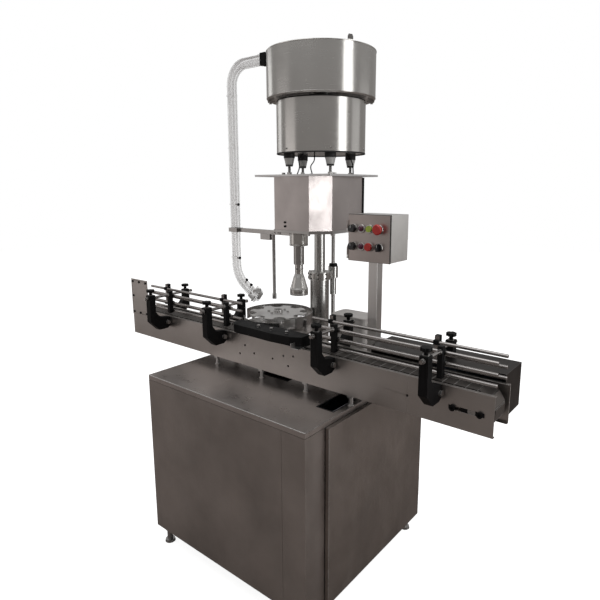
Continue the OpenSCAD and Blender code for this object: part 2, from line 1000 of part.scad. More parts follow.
module spindle_housing() {
  r = chuck_r;
  color([0.70, 0.69, 0.68])
    difference() {
      union() {
        bar(spin_x, spin_y, base_z - 55, r, 55 + base_t);
        bar(spin_x, spin_y, base_z + base_t, 50, 8);
        bar(spin_x, spin_y, base_z + base_t, 34, pulley_z - 4 - base_z - base_t);
        bar(spin_x, spin_y, base_z - 1, 43.5, base_t + 2);
      }
      bar(spin_x, spin_y, base_z - 60, quill_r + gap, 140);
    }
}

quill_top = pulley_z + pulley_h + 60;

module quill() {
  color([0.62, 0.62, 0.62])
    difference() {
      bar(spin_x, spin_y, neck_z, quill_r, quill_top - neck_z);
      bar(spin_x, spin_y, neck_z - 1, stem_r + gap, quill_top - neck_z + 2);
    }
}

module capping_chuck() {
  color([0.55, 0.54, 0.53])
    translate([spin_x, spin_y, chuck_z])
      rotate_extrude()
        polygon([
          [16.5, 0], [chuck_r, 0], [chuck_r, 26], [chuck_r - 3, 32], [23, 74], [17, 88],
          [17, neck_z - chuck_z - 0.3], [stem_r, neck_z - chuck_z - 0.3],
          [stem_r, quill_top - chuck_z - 20], [0, quill_top - chuck_z - 20], [0, 28], [14, 28],
          [14, 4]
        ]);
}

// ---------- bowl feeder ----------

module bowl_drum() {
  color([0.68, 0.66, 0.64])
    translate([bowl_x, bowl_y, drum_z])
      rotate_extrude($fn = 96)
        polygon([
          [0, 0], [drum_r - 2, 0], [drum_r, 2], [drum_r, drum_h], [drum_r - 3, drum_h],
          [drum_r - 3, 6], [60, 6], [60, drum_h - 30], [0, drum_h - 30]
        ]);
}

// direction of the bowl's lifting tab from its centre
tab_angle = -23;

module bowl_shell(r, h) {
  translate([bowl_x, bowl_y, bowl_z])
    rotate_extrude($fn = 96)
      polygon([
        [0, 30], [120, 12], [r - 46, 6], [r - 6, 0], [r, 4], [r, h], [r - 3, h], [r - 3, 8],
        [r - 46, 10], [120, 16], [0, 34]
      ]);
}

module sorting_bowl() {
  r = bowl_r;
  h = bowl_h;
  color([0.74, 0.72, 0.70])
    union() {
      difference() {
        bowl_shell(r, h);
        // outlet where the caps leave for the chute
        block([bowl_x - r - 10, chute_y - chute_w / 2, chute_top - 12],
              [bowl_x - r + 90, chute_y + chute_w / 2, bowl_z + h + 1]);
      }
      // the sorting ledges inside the bowl, one step higher each quarter turn
      for (i = [0 : 6])
        translate([bowl_x, bowl_y, bowl_z + 22 + i * 20])
          rotate([0, 0, 185 + i * 45])
            rotate_extrude(angle = 47, $fn = 96)
              translate([r - 32, 0])
                square([30, 2.5]);
      // lifting tab on the rim
      translate([bowl_x, bowl_y, bowl_z + h - 30])
        rotate([0, 0, tab_angle])
          translate([r - 3, 0, 0])
            rotate([90, 0, 90])
              linear_extrude(3)
                polygon([[-11, 0], [11, 0], [11, 42], [7, 50], [-7, 50], [-11, 42]]);
      // mounting boss over the drive
      translate([bowl_x, bowl_y, bowl_z - 37])
        difference() {
          cylinder(r = 56, h = 68);
          translate([0, 0, -1])
            cylinder(r = 12, h = 31);
        }
    }
}

// directions of the feet under the drum
foot_angles = [250, 322, 70, 160];

module bowl_feet() {
  z0 = plate_z + plate_t;
  h = drum_z - z0;
  color([0.06, 0.06, 0.06])
    for (a = foot_angles)
      translate([bowl_x + bowl_foot_r * cos(a), bowl_y + bowl_foot_r * sin(a), z0])
        union() {
          cylinder(r = 5, h = h);
          cylinder(r = 10, h = 7, $fn = 6);
          translate([0, 0, h - 52])
            cylinder(r1 = 14, r2 = 20, h = 32);
          translate([0, 0, h - 21])
            cylinder(r = 22, h = 21);
        }
}

// ---------- cap chute ----------

top_bend = [chute_x + chute_bend_r, chute_top - chute_bend_r];
low_bend = [chute_x + chute_low_r, chute_low_z];

// the chute's path in the XZ plane, moved u away from its centre line (negative is inside the bends)
function chute_path(u) = [
  [chute_start, chute_top + u],
  for (a = [90 : 6 : 180]) top_bend + (chute_bend_r + u) * [cos(a), sin(a)],
  for (a = [180 : 5 : 180 + chute_turn]) low_bend + (chute_low_r + u) * [cos(a), sin(a)],
  low_bend - (chute_low_r + u) * [cos(chute_turn), sin(chute_turn)]
    + chute_run * [sin(chute_turn), -cos(chute_turn)]
];

function reversed(list) = [for (i = [len(list) - 1 : -1 : 0]) list[i]];

// one strand of the chute: t thick and w wide, its middle u from the centre line
module chute_strand(u, t, w) {
  translate([0, w / 2, 0])
    rotate([90, 0, 0])
      linear_extrude(w)
        polygon(concat(chute_path(u + t / 2), reversed(chute_path(u - t / 2))));
}

// a thin band that ties the chute's strands together
module chute_clip() {
  x1 = chute_t / 2;
  y1 = chute_w / 2;
  difference() {
    translate([-x1 - 2, -y1 - 4, 0])
      cube([2 * x1, 2 * y1 + 8, 5]);
    translate([-x1 + 1.5, -y1 - 1, -1])
      cube([2 * x1, 2 * y1 + 2, 7]);
  }
}

// where the release's pivot is: along the chute's last straight run, and out from its back
release_s = 80;
release_u = 28;
clip_zs = [1215, 1455, 1700, 1920];

module cap_chute() {
  color([0.76, 0.75, 0.74]) {
    translate([0, chute_y, 0])
      union() {
        chute_strand(chute_t / 2 - 1.5, 3, chute_w + 4);
        for (s = [-1, 1]) {
          translate([0, s * (chute_w / 2 - 1), 0])
            chute_strand(-chute_t / 2 + 2, 5, 5);
          translate([0, s * (chute_w / 2 + 1.5), 0])
            chute_strand(-1, 25, 2);
        }
        for (z = clip_zs)
          translate([chute_x, 0, z])
            chute_clip();
        // the mouth that meets the bowl
        translate([chute_start - 34, -chute_w / 2 - 4, chute_top - chute_t / 2 - 2])
          difference() {
            cube([32, chute_w + 8, chute_t + 3]);
            translate([-1, 3, 3])
              cube([34, chute_w + 2, chute_t - 3]);
          }
      }
    // cheeks at the bottom end that carry the release's pivot
    on_run()
      for (side = [-1, 1])
        difference() {
          translate([60, side * (chute_w / 2 + 4) - 3, -chute_t / 2 - 2])
            cube([44, 6, chute_t + 20]);
          bar_y(release_s, -40, release_u, 3 + gap, 80);
        }
  }
}

module chute_arm() {
  y = chute_y;
  clamp_x1 = chute_x + chute_t / 2 + 8;
  color([0.55, 0.54, 0.50])
    union() {
      block([clamp_x1 - 1, y - 6, arm_z - 9], [spin_x - chuck_r - 8, y + 6, arm_z + 9]);
      block([-196, y - 12, arm_z - 33], [-140, y + 12, arm_z - 8]);
      // clamp round the chute
      difference() {
        block([chute_x - chute_t / 2 - 6, y - 20, arm_z - 9], [clamp_x1, y + 20, arm_z + 9]);
        block([chute_x - chute_t / 2, y - chute_w / 2 - 3.5, arm_z - 10],
              [chute_x + chute_t / 2 + 1.5, y + chute_w / 2 + 3.5, arm_z + 10]);
      }
      // sensor rod over the star wheel
      bar(sensor_x, y, 1076, 7, arm_z - 1076);
      bar(sensor_x, y, 1054, 9, 23);
      for (x = [-112, -90])
        front_screw(x, y - 5.5, arm_z, 6, 5);
    }
}

// origin at the start of the chute's last straight run, +X down the run, +Z away from its back
module on_run() {
  translate([
    chute_x + chute_low_r * (1 - cos(chute_turn)),
    chute_y,
    chute_low_z - chute_low_r * sin(chute_turn)
  ])
    rotate([0, 90 - chute_turn, 0])
      children();
}

module cap_release() {
  y1 = chute_w / 2 + 7;
  color([0.50, 0.50, 0.51])
    on_run()
      union() {
        bar_y(release_s, -y1 - 4, release_u, 3, 2 * y1 + 8);
        for (y = [-y1 - 4, y1 + 0.2])
          bar_y(release_s, y, release_u, 6, 3.8);
        block([release_s - 6, -8, release_u - 5], [release_s + 32, 8, release_u + 7]);
        block([release_s + 23, -8, release_u - 26], [release_s + 31, 8, release_u]);
      }
}

// ---------- control box ----------

box_y1 = box_y0 + box_d;
box_left = box_x - box_w / 2;
door_hinge_x = box_left - 2.5;
door_face = box_y0 - door_t;
// radius of a panel device's stem and height of its bezel
stem_out = 11;
bezel_h = 4;
bezel_face = door_face - bezel_h;
knuckle_z = [box_z + 20, box_z + box_h - 50];

module control_box() {
  wall = 2;
  color([0.72, 0.72, 0.71])
    union() {
      difference() {
        block([box_left, box_y0, box_z], [box_left + box_w, box_y1, box_z + box_h]);
        block([box_left + wall, box_y0 - 1, box_z + wall],
              [box_left + box_w - wall, box_y1 - wall, box_z + box_h - wall]);
      }
      for (z = knuckle_z) {
        bar(door_hinge_x, box_y0 - 5, z - 14, 3, 13.8);
        block([door_hinge_x - 1, box_y0 - 5, z - 14], [box_left - 0.1, box_y0 + 6, z - 0.2]);
        block([door_hinge_x - 1, box_y0 + 1, z - 14], [box_left + 1, box_y0 + 6, z - 0.2]);
      }
    }
}

module control_door() {
  color([0.70, 0.70, 0.69])
    difference() {
      union() {
        block([box_left, door_face, box_z], [box_left + box_w, box_y0 - 0.1, box_z + box_h]);
        for (z = knuckle_z) {
          bar(door_hinge_x, box_y0 - 5, z, 3, 30);
          block([door_hinge_x, box_y0 - 5, z], [box_left + 1, box_y0 - 2, z + 30]);
        }
        for (x = knob_x, z = row_z)
          bar_y(box_x + x, bezel_face, z, 15, bezel_h + 1);
      }
      for (x = knob_x, z = row_z)
        bar_y(box_x + x, bezel_face - 1, z, stem_out + gap, bezel_h + door_t + 4);
    }
}

module control_post() {
  color([0.62, 0.61, 0.60])
    union() {
      translate([post_x - post_w / 2, post_y - post_w / 2, cab_top])
        cube([post_w, post_w, box_z - cab_top]);
      translate([post_x - 42, post_y - 42, cab_top])
        cube([84, 84, 8]);
      for (sx = [-1, 1], sy = [-1, 1])
        translate([post_x + sx * 32, post_y + sy * 32, cab_top + 7.5])
          cap_screw(6, 6);
    }
}

// the stem of a panel device in the column col and the row row
module device(col, row) {
  translate([box_x + knob_x[col], bezel_face, row_z[row]])
    rotate([90, 0, 0])
      children();
}

module stem() {
  translate([0, 0, -bezel_h - door_t - 5])
    cylinder(r = stem_out, h = bezel_h + door_t + 6.5);
}

module pilot_lamps() {
  color([0.25, 0.05, 0.10])
    for (row = [0, 1])
      device(1, row)
        union() {
          translate([0, 0, -bezel_h - door_t - 5])
            cylinder(r = stem_out + gap, h = bezel_h + door_t + 6);
          cylinder(r1 = stem_out, r2 = stem_out - 2, h = 6);
        }
}

// a knob with a pointer rib
module turn_knob() {
  stem();
  difference() {
    translate([0, 0, 1])
      cylinder(r1 = 15, r2 = 13, h = 15);
    for (a = [0 : 30 : 330])
      rotate([0, 0, a])
        translate([16, 0, 0.5])
          cylinder(r = 2.4, h = 17);
  }
  translate([-1.2, 0, 15])
    cube([2.4, 12, 2.5]);
}

module speed_knob() {
  color([0.05, 0.05, 0.06])
    device(0, 1)
      union()
        turn_knob();
}

module torque_knob() {
  color([0.05, 0.05, 0.06])
    device(0, 0)
      union()
        turn_knob();
}

module mode_selector() {
  color([0.05, 0.07, 0.06])
    device(3, 0)
      union() {
        stem();
        translate([0, 0, 1])
          cylinder(r = 14, h = 4);
        translate([-4, -13, 4])
          cube([8, 26, 12]);
      }
}

module start_button() {
  color([0.55, 0.72, 0.16])
    device(2, 1)
      union() {
        stem();
        cylinder(r = stem_out, h = 7);
      }
}

module stop_button() {
  color([0.62, 0.06, 0.06])
    device(2, 0)
      union() {
        stem();
        cylinder(r = stem_out, h = 6.5);
        translate([0, 0, 6])
          cylinder(r1 = 15, r2 = 13, h = 6);
      }
}

module emergency_stop() {
  color([0.80, 0.05, 0.05])
    device(3, 1)
      union() {
        stem();
        cylinder(r = stem_out, h = 12);
        translate([0, 0, 10])
          cylinder(r1 = 14, r2 = 19, h = 5);
        translate([0, 0, 15])
          cylinder(r1 = 19, r2 = 15, h = 6);
      }
}

// ---------- what is drawn ----------

cabinet_frame();
cabinet_top();
front_panel();
left_panel();
rear_panel();
corner_covers();
side_door();
levelling_feet();
side_plate_front();
side_plate_rear();
conveyor_bed();
slat_chain();
drive_shaft();
idler_shaft();
shaft_bearings();
conveyor_gearmotor();
drive_cover();
infeed_guard();
rails_infeed_front();
rails_infeed_rear();
rails_outfeed_front();
rails_outfeed_rear();
rail_brackets();
bracket_knobs();
star_table();
star_shaft();
star_wheel();
guide_front();
guide_rear();
index_gearmotor();
junction_box();
column_outer();
column_inner();
lift_screw();
head_base();
head_cover();
head_plate();
head_motor();
motor_pulley();
spindle_pulley();
drive_belt();
spindle_housing();
quill();
capping_chuck();
bowl_drum();
sorting_bowl();
bowl_feet();
cap_chute();
chute_arm();
cap_release();
control_box();
control_door();
control_post();
pilot_lamps();
speed_knob();
torque_knob();
mode_selector();
start_button();
stop_button();
emergency_stop();
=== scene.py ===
"""Looks for the capping machine: materials, small fittings, light and camera.

Everything is in metres in the part's own frame: X along the conveyor, the operator at -Y, Z up.
"""

import math

import bmesh
import bpy
from mathutils import Matrix, Vector


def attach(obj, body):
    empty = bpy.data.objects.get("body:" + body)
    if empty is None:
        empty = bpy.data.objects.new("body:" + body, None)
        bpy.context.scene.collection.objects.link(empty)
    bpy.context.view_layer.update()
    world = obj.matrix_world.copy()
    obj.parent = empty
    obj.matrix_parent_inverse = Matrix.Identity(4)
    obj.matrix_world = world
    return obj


MM = 0.001

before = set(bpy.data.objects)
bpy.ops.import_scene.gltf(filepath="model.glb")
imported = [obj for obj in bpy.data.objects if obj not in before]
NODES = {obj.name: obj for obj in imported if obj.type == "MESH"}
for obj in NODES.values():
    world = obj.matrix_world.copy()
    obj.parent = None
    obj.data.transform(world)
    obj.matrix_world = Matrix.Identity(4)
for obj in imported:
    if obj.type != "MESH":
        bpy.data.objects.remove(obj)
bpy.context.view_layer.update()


# ---------- node helpers ----------


class Graph:
    """A material's node tree, with short calls for the nodes used here."""

    def __init__(self, name):
        self.material = bpy.data.materials.new(name)
        self.material.use_nodes = True
        self.tree = self.material.node_tree
        self.tree.nodes.clear()
        self.output = self.tree.nodes.new("ShaderNodeOutputMaterial")

    def add(self, kind, inputs=None, **settings):
        """A new node; inputs maps a socket's name or index to a value or another socket."""
        node = self.tree.nodes.new("ShaderNode" + kind)
        for key, value in settings.items():
            setattr(node, key, value)
        for key, value in (inputs or {}).items():
            self.link(value, node.inputs[key])
        return node

    def link(self, value, socket):
        if isinstance(value, bpy.types.NodeSocket):
            self.tree.links.new(value, socket)
        else:
            socket.default_value = value

    def math(self, operation, a, b):
        return self.add("Math", {0: a, 1: b}, operation=operation).outputs[0]

    def mix(self, factor, a, b, blend="MIX"):
        node = self.add("Mix", {0: factor, 6: a, 7: b}, data_type="RGBA", blend_type=blend)
        return node.outputs[2]

    def grey(self, value):
        """A colour with the same value in all three channels."""
        return self.add("CombineColor", {0: value, 1: value, 2: value}).outputs[0]

    def ramp(self, value, low, high, out_low=0.0, out_high=1.0):
        """value mapped from low..high to out_low..out_high, and held there outside."""
        node = self.add(
            "MapRange", {0: value, 1: low, 2: high, 3: out_low, 4: out_high}, clamp=True
        )
        return node.outputs[0]

    def place(self, scale=(1, 1, 1)):
        """The object's own coordinates in metres, scaled along each axis."""
        coord = self.add("TexCoord").outputs["Object"]
        return self.add("Mapping", {"Vector": coord, "Scale": scale}).outputs[0]

    def noise(self, vector, scale, detail=3.0, rough=0.55):
        node = self.add(
            "TexNoise", {"Vector": vector, "Scale": scale, "Detail": detail, "Roughness": rough}
        )
        return node.outputs["Fac"]

    def edges(self, radius):
        """About 1 on edges and corners sharper than radius, 0 on flat faces."""
        bevel = self.add("Bevel", {"Radius": radius}, samples=4).outputs[0]
        normal = self.add("NewGeometry").outputs["Normal"]
        dot = self.add("VectorMath", {0: bevel, 1: normal}, operation="DOT_PRODUCT")
        return self.ramp(dot.outputs["Value"], 0.995, 0.85)

    def surface(self, shader):
        self.tree.links.new(shader, self.output.inputs["Surface"])
        return self.material


def rgb(r, g, b):
    return (r, g, b, 1.0)


# scale of the coordinates for a grain that runs along each axis
GRAIN = {"X": (2.0, 160.0, 160.0), "Y": (160.0, 2.0, 160.0), "Z": (160.0, 160.0, 2.0),
         "ring": (4.0, 4.0, 160.0)}
# pale steel that the edges are mixed toward: part wear, part painted highlight
EDGE_WEAR_AND_HIGHLIGHT = (0.85, 0.84, 0.83)
MATT_STEEL = (0.16, 0.155, 0.15)
MATT_ROUGHNESS = 0.6
PRIMER = (0.62, 0.61, 0.60)


def steel(name, color, rough=0.3, grain="Z", streak=0.10, cloud=0.12, spun=False, edge=0.35,
          bump=0.05, dull_above=None):
    """Brushed stainless sheet or bar, its edges mixed toward a pale steel for wear and a painted highlight.

    spun is for round pieces turned about Z; dull_above is a height over which the steel is matt.
    """
    g = Graph(name)
    fine = g.noise(g.place(GRAIN["ring" if spun else grain]), 3.0, 4.0, 0.55)
    coarse = g.noise(g.place((3, 3, 3)), 1.4, 4.0)
    smudge = g.noise(g.place((14, 14, 9)), 1.0, 5.0, 0.65)
    tone = g.add("Math", {0: fine, 1: streak, 2: 1.0 - streak / 2}, operation="MULTIPLY_ADD").outputs[0]
    cloudy = g.ramp(coarse, 0.3, 0.7, 1.0 - cloud, 1.0 + cloud * 0.5)
    value = g.math("MULTIPLY", tone, cloudy)
    mask = g.edges(0.0012)
    base = g.mix(1.0, rgb(*color), g.grey(value), "MULTIPLY")
    # edges mixed toward pale steel: part wear, part painted highlight along the edges
    worn = g.mix(g.math("MULTIPLY", mask, edge), base, rgb(*EDGE_WEAR_AND_HIGHLIGHT))
    roughness = g.ramp(smudge, 0.25, 0.75, rough * 0.8, rough * 1.25)
    roughness = g.math("ADD", roughness, g.ramp(fine, 0.2, 0.8, -0.03, 0.05))
    if dull_above:
        spot = g.add("SeparateXYZ", {0: g.add("TexCoord").outputs["Object"]})
        matt = g.ramp(spot.outputs["Z"], dull_above, dull_above + 0.001)
        worn = g.mix(matt, worn, rgb(*MATT_STEEL))
        roughness = g.math("MAXIMUM", roughness, g.math("MULTIPLY", matt, MATT_ROUGHNESS))
    normal = g.add("Bump", {"Strength": bump, "Distance": 0.0004, "Height": fine}).outputs[0]
    inputs = {
        "Base Color": worn,
        "Metallic": 1.0,
        "Roughness": roughness,
        "Normal": normal,
    }
    if spun:
        inputs["Anisotropic"] = 0.6
        inputs["Anisotropic Rotation"] = 0.25
        inputs["Tangent"] = g.add("Tangent", direction_type="RADIAL", axis="Z").outputs[0]
    return g.surface(g.add("BsdfPrincipled", inputs).outputs[0])


def plastic(name, color, rough=0.45, speck=0.15, edge=0.2, coat=0.0, shine=0.5):
    """Moulded plastic or rubber with a fine texture and lighter, rubbed edges."""
    g = Graph(name)
    fine = g.noise(g.place(), 900.0, 2.0)
    coarse = g.noise(g.place(), 25.0, 3.0)
    light = g.ramp(coarse, 0.3, 0.7, 1.0 - speck, 1.0 + speck)
    base = g.mix(1.0, rgb(*color), g.grey(light), "MULTIPLY")
    rubbed = tuple(min(1.0, c * 1.8 + 0.05) for c in color)
    worn = g.mix(g.math("MULTIPLY", g.edges(0.0015), edge), base, rgb(*rubbed))
    normal = g.add("Bump", {"Strength": 0.12, "Distance": 0.0003, "Height": fine}).outputs[0]
    inputs = {
        "Base Color": worn,
        "Roughness": g.ramp(coarse, 0.2, 0.8, rough * 0.85, rough * 1.2),
        "Coat Weight": coat,
        "Specular IOR Level": shine,
        "Normal": normal,
    }
    return g.surface(g.add("BsdfPrincipled", inputs).outputs[0])


def clear(name):
    """Frosted clear sheet: mostly pale and glossy, with some of what is behind showing through."""
    g = Graph(name)
    haze = g.noise(g.place((30, 30, 6)), 2.0, 4.0)
    tint = g.ramp(haze, 0.3, 0.7, 0.86, 0.97)
    fine = g.noise(g.place(), 400.0, 2.0)
    normal = g.add("Bump", {"Strength": 0.02, "Distance": 0.0002, "Height": fine}).outputs[0]
    sheet = g.add("BsdfPrincipled", {
        "Base Color": g.grey(tint),
        "Metallic": 0.15,
        "Roughness": g.ramp(haze, 0.2, 0.8, 0.2, 0.34),
        "Normal": normal,
    }).outputs[0]
    through = g.add("BsdfTransparent").outputs[0]
    fresnel = g.add("LayerWeight", {"Blend": 0.35}).outputs["Facing"]
    solid = g.ramp(fresnel, 0.1, 0.8, 0.16, 0.9)
    return g.surface(g.add("MixShader", {0: solid, 1: through, 2: sheet}).outputs[0])


def paint(name, color, rough=0.35):
    """Sprayed enamel with a slight orange-peel and edges chipped to primer."""
    g = Graph(name)
    peel = g.noise(g.place(), 350.0, 2.0)
    patch = g.noise(g.place(), 9.0, 5.0, 0.6)
    light = g.ramp(patch, 0.3, 0.7, 0.9, 1.06)
    base = g.mix(1.0, rgb(*color), g.grey(light), "MULTIPLY")
    chips = g.math("MULTIPLY", g.edges(0.002), g.ramp(g.noise(g.place(), 120.0, 4.0), 0.45, 0.6))
    worn = g.mix(g.math("MULTIPLY", chips, 0.3), base, rgb(*PRIMER))
    normal = g.add("Bump", {"Strength": 0.08, "Distance": 0.0005, "Height": peel}).outputs[0]
    inputs = {
        "Base Color": worn,
        "Roughness": g.ramp(patch, 0.2, 0.8, rough * 0.85, rough * 1.2),
        "Coat Weight": 0.2,
        "Normal": normal,
    }
    return g.surface(g.add("BsdfPrincipled", inputs).outputs[0])


# ---------- materials ----------

PANEL = steel("panel_steel", (0.46, 0.425, 0.405), 0.34, "Z", cloud=0.20)
# painted shade: a darker, browner copy of panel_steel that darkens the side door
PANEL_SIDE_SHADED = steel("panel_side_shaded_steel", (0.41, 0.37, 0.345), 0.36, "Z", cloud=0.20)
TOP = steel("top_steel", (0.56, 0.52, 0.50), 0.30, "X")
RAIL_PLATE = steel("side_plate_steel", (0.50, 0.47, 0.45), 0.34, "X")
# painted shade: the drive cover's steel is made near black to stand for the shadow under the rails
SHADED_COVER_SHEET = steel("drive_cover_shade_steel", (0.045, 0.039, 0.036), 0.34, "X")
BRIGHT = steel("bright_steel", (0.56, 0.55, 0.54), 0.26, "X", streak=0.06, edge=0.15)
ROD = steel("rod_steel", (0.40, 0.38, 0.37), 0.24, "X", streak=0.08, edge=0.1)
SLAT = steel("slat_steel", (0.155, 0.14, 0.13), 0.34, "Y", streak=0.2, cloud=0.3, edge=0.3)
BRIGHT_Z = steel("bright_steel_upright", (0.60, 0.59, 0.58), 0.26, "Z", streak=0.06, edge=0.15)
POST = steel("post_steel", (0.80, 0.79, 0.78), 0.34, "Z", cloud=0.06, bump=0.02)
CHUTE = clear("chute_clear")
CUP = plastic("cup_grey", (0.52, 0.52, 0.51), 0.4, edge=0.1)
# the spun bowl and drum, and the height over which the bowl's lifting tab is matt
SPUN_COLOR = (0.62, 0.61, 0.59)
TAB_Z = 2.0575
SPUN = steel("spun_steel", SPUN_COLOR, 0.22, spun=True, streak=0.05, cloud=0.06, bump=0.02)
COLUMN_SKIN = steel("column_steel", (0.54, 0.54, 0.53), 0.24, "Z", streak=0.06, cloud=0.04, bump=0.01)
TURNED = steel("turned_steel", (0.44, 0.43, 0.42), 0.30, spun=True)
HEAD = steel("head_steel", (0.46, 0.425, 0.415), 0.32, "X", streak=0.05)
PLATE = steel("head_plate_steel", (0.66, 0.66, 0.66), 0.36, "X", edge=0.1)
ALLOY = steel("machined_alloy", (0.50, 0.49, 0.48), 0.38, "X", streak=0.12)
# painted light: the box body's steel is given a near-white albedo so that its sides render bright
BOX_LIT = steel("box_lit_steel", (0.95, 0.95, 0.93), 0.38, "Z", streak=0.10, cloud=0.16)
JUNCTION = paint("junction_enamel", (0.62, 0.59, 0.57), 0.45)
STAR_STEEL = steel("star_steel", (0.86, 0.85, 0.84), 0.34, "X", streak=0.06, edge=0.5)
BOWL_STEEL = steel("bowl_steel", SPUN_COLOR, 0.22, spun=True, streak=0.05, cloud=0.06, bump=0.02,
                   dull_above=TAB_Z)
# painted shade: a darker, browner copy of the box steel for the door, which faces the camera
BOX_FACE_SHADED = steel("box_face_shaded_steel", (0.50, 0.45, 0.43), 0.36, "X", streak=0.10, cloud=0.18)
FRAME = paint("frame_enamel", (0.16, 0.16, 0.17), 0.42)
MOTOR = paint("motor_enamel", (0.10, 0.13, 0.16), 0.38)
BLACK = plastic("black_plastic", (0.005, 0.005, 0.0055), 0.50, edge=0.05, shine=0.16)
RUBBER = plastic("black_rubber", (0.012, 0.012, 0.012), 0.62, edge=0.08)
KNOB = plastic("knob_black", (0.008, 0.008, 0.010), 0.32, edge=0.1, coat=0.3)
GREEN = plastic("button_green", (0.38, 0.50, 0.06), 0.34, coat=0.3)
RED = plastic("button_red", (0.50, 0.025, 0.02), 0.34, coat=0.3)
WHITE = plastic("pointer_white", (0.7, 0.7, 0.69), 0.4, speck=0.05, edge=0.0)
LAMP = plastic("lamp_lens", (0.07, 0.006, 0.03), 0.18, coat=0.6)

NODE_MATERIAL = {
    "cabinet_frame": FRAME, "cabinet_top": TOP, "front_panel": PANEL, "left_panel": PANEL,
    "rear_panel": PANEL, "corner_covers": PANEL, "side_door": PANEL_SIDE_SHADED,
    "levelling_feet": TURNED, "side_plate_front": RAIL_PLATE, "side_plate_rear": RAIL_PLATE,
    "conveyor_bed": ALLOY, "slat_chain": SLAT, "drive_shaft": TURNED, "idler_shaft": TURNED,
    "shaft_bearings": BLACK, "conveyor_gearmotor": MOTOR, "drive_cover": SHADED_COVER_SHEET,
    "infeed_guard": RAIL_PLATE, "rails_infeed_front": ROD, "rails_infeed_rear": ROD,
    "rails_outfeed_front": ROD, "rails_outfeed_rear": ROD, "rail_brackets": BLACK,
    "bracket_knobs": BLACK, "star_table": TOP, "star_shaft": TURNED, "star_wheel": STAR_STEEL,
    "guide_front": BLACK, "guide_rear": BRIGHT, "index_gearmotor": MOTOR, "junction_box": JUNCTION,
    "column_outer": COLUMN_SKIN, "column_inner": COLUMN_SKIN, "lift_screw": TURNED, "head_base": ALLOY,
    "head_cover": HEAD, "head_plate": PLATE, "head_motor": MOTOR, "motor_pulley": ALLOY,
    "spindle_pulley": ALLOY, "drive_belt": RUBBER, "spindle_housing": SPUN, "quill": TURNED,
    "capping_chuck": SPUN, "bowl_drum": SPUN, "sorting_bowl": BOWL_STEEL, "bowl_feet": RUBBER,
    "cap_chute": CHUTE, "chute_arm": TURNED, "cap_release": TURNED, "control_box": BOX_LIT,
    "control_door": BOX_FACE_SHADED, "control_post": POST, "pilot_lamps": LAMP, "speed_knob": KNOB,
    "torque_knob": KNOB, "mode_selector": KNOB, "start_button": GREEN, "stop_button": RED,
    "emergency_stop": RED,
}

for node_name, material in NODE_MATERIAL.items():
    slots = NODES[node_name].data.materials
    if not slots:
        slots.append(material)
    for index in range(len(slots)):
        slots[index] = material


# ---------- mesh helpers ----------


# local X, Y and Z of a frame whose Z runs along each axis
AXES = {
    "X": ((0, 1, 0), (0, 0, 1), (1, 0, 0)),
    "-X": ((0, -1, 0), (0, 0, 1), (-1, 0, 0)),
    "Y": ((-1, 0, 0), (0, 0, 1), (0, 1, 0)),
    "-Y": ((1, 0, 0), (0, 0, 1), (0, -1, 0)),
    "Z": ((1, 0, 0), (0, 1, 0), (0, 0, 1)),
    "-Z": ((1, 0, 0), (0, -1, 0), (0, 0, -1)),
}


def frame_at(point, axis="Z"):
    """A matrix that puts local +Z along an axis such as "Z" or "-Y", at a point given in mm."""
    turn = Matrix(AXES[axis]).transposed().to_4x4()
    return Matrix.Translation(Vector(point) * MM) @ turn


def radial_frame(center, height, radius, degrees):
    """A frame at radius mm from an upright axis, with its Z pointing straight out."""
    turn = Matrix.Rotation(math.radians(degrees), 4, "Z")
    out = Matrix.Translation((radius * MM, 0, 0)) @ Matrix.Rotation(math.pi / 2, 4, "Y")
    return frame_at((*center, height)) @ turn @ out


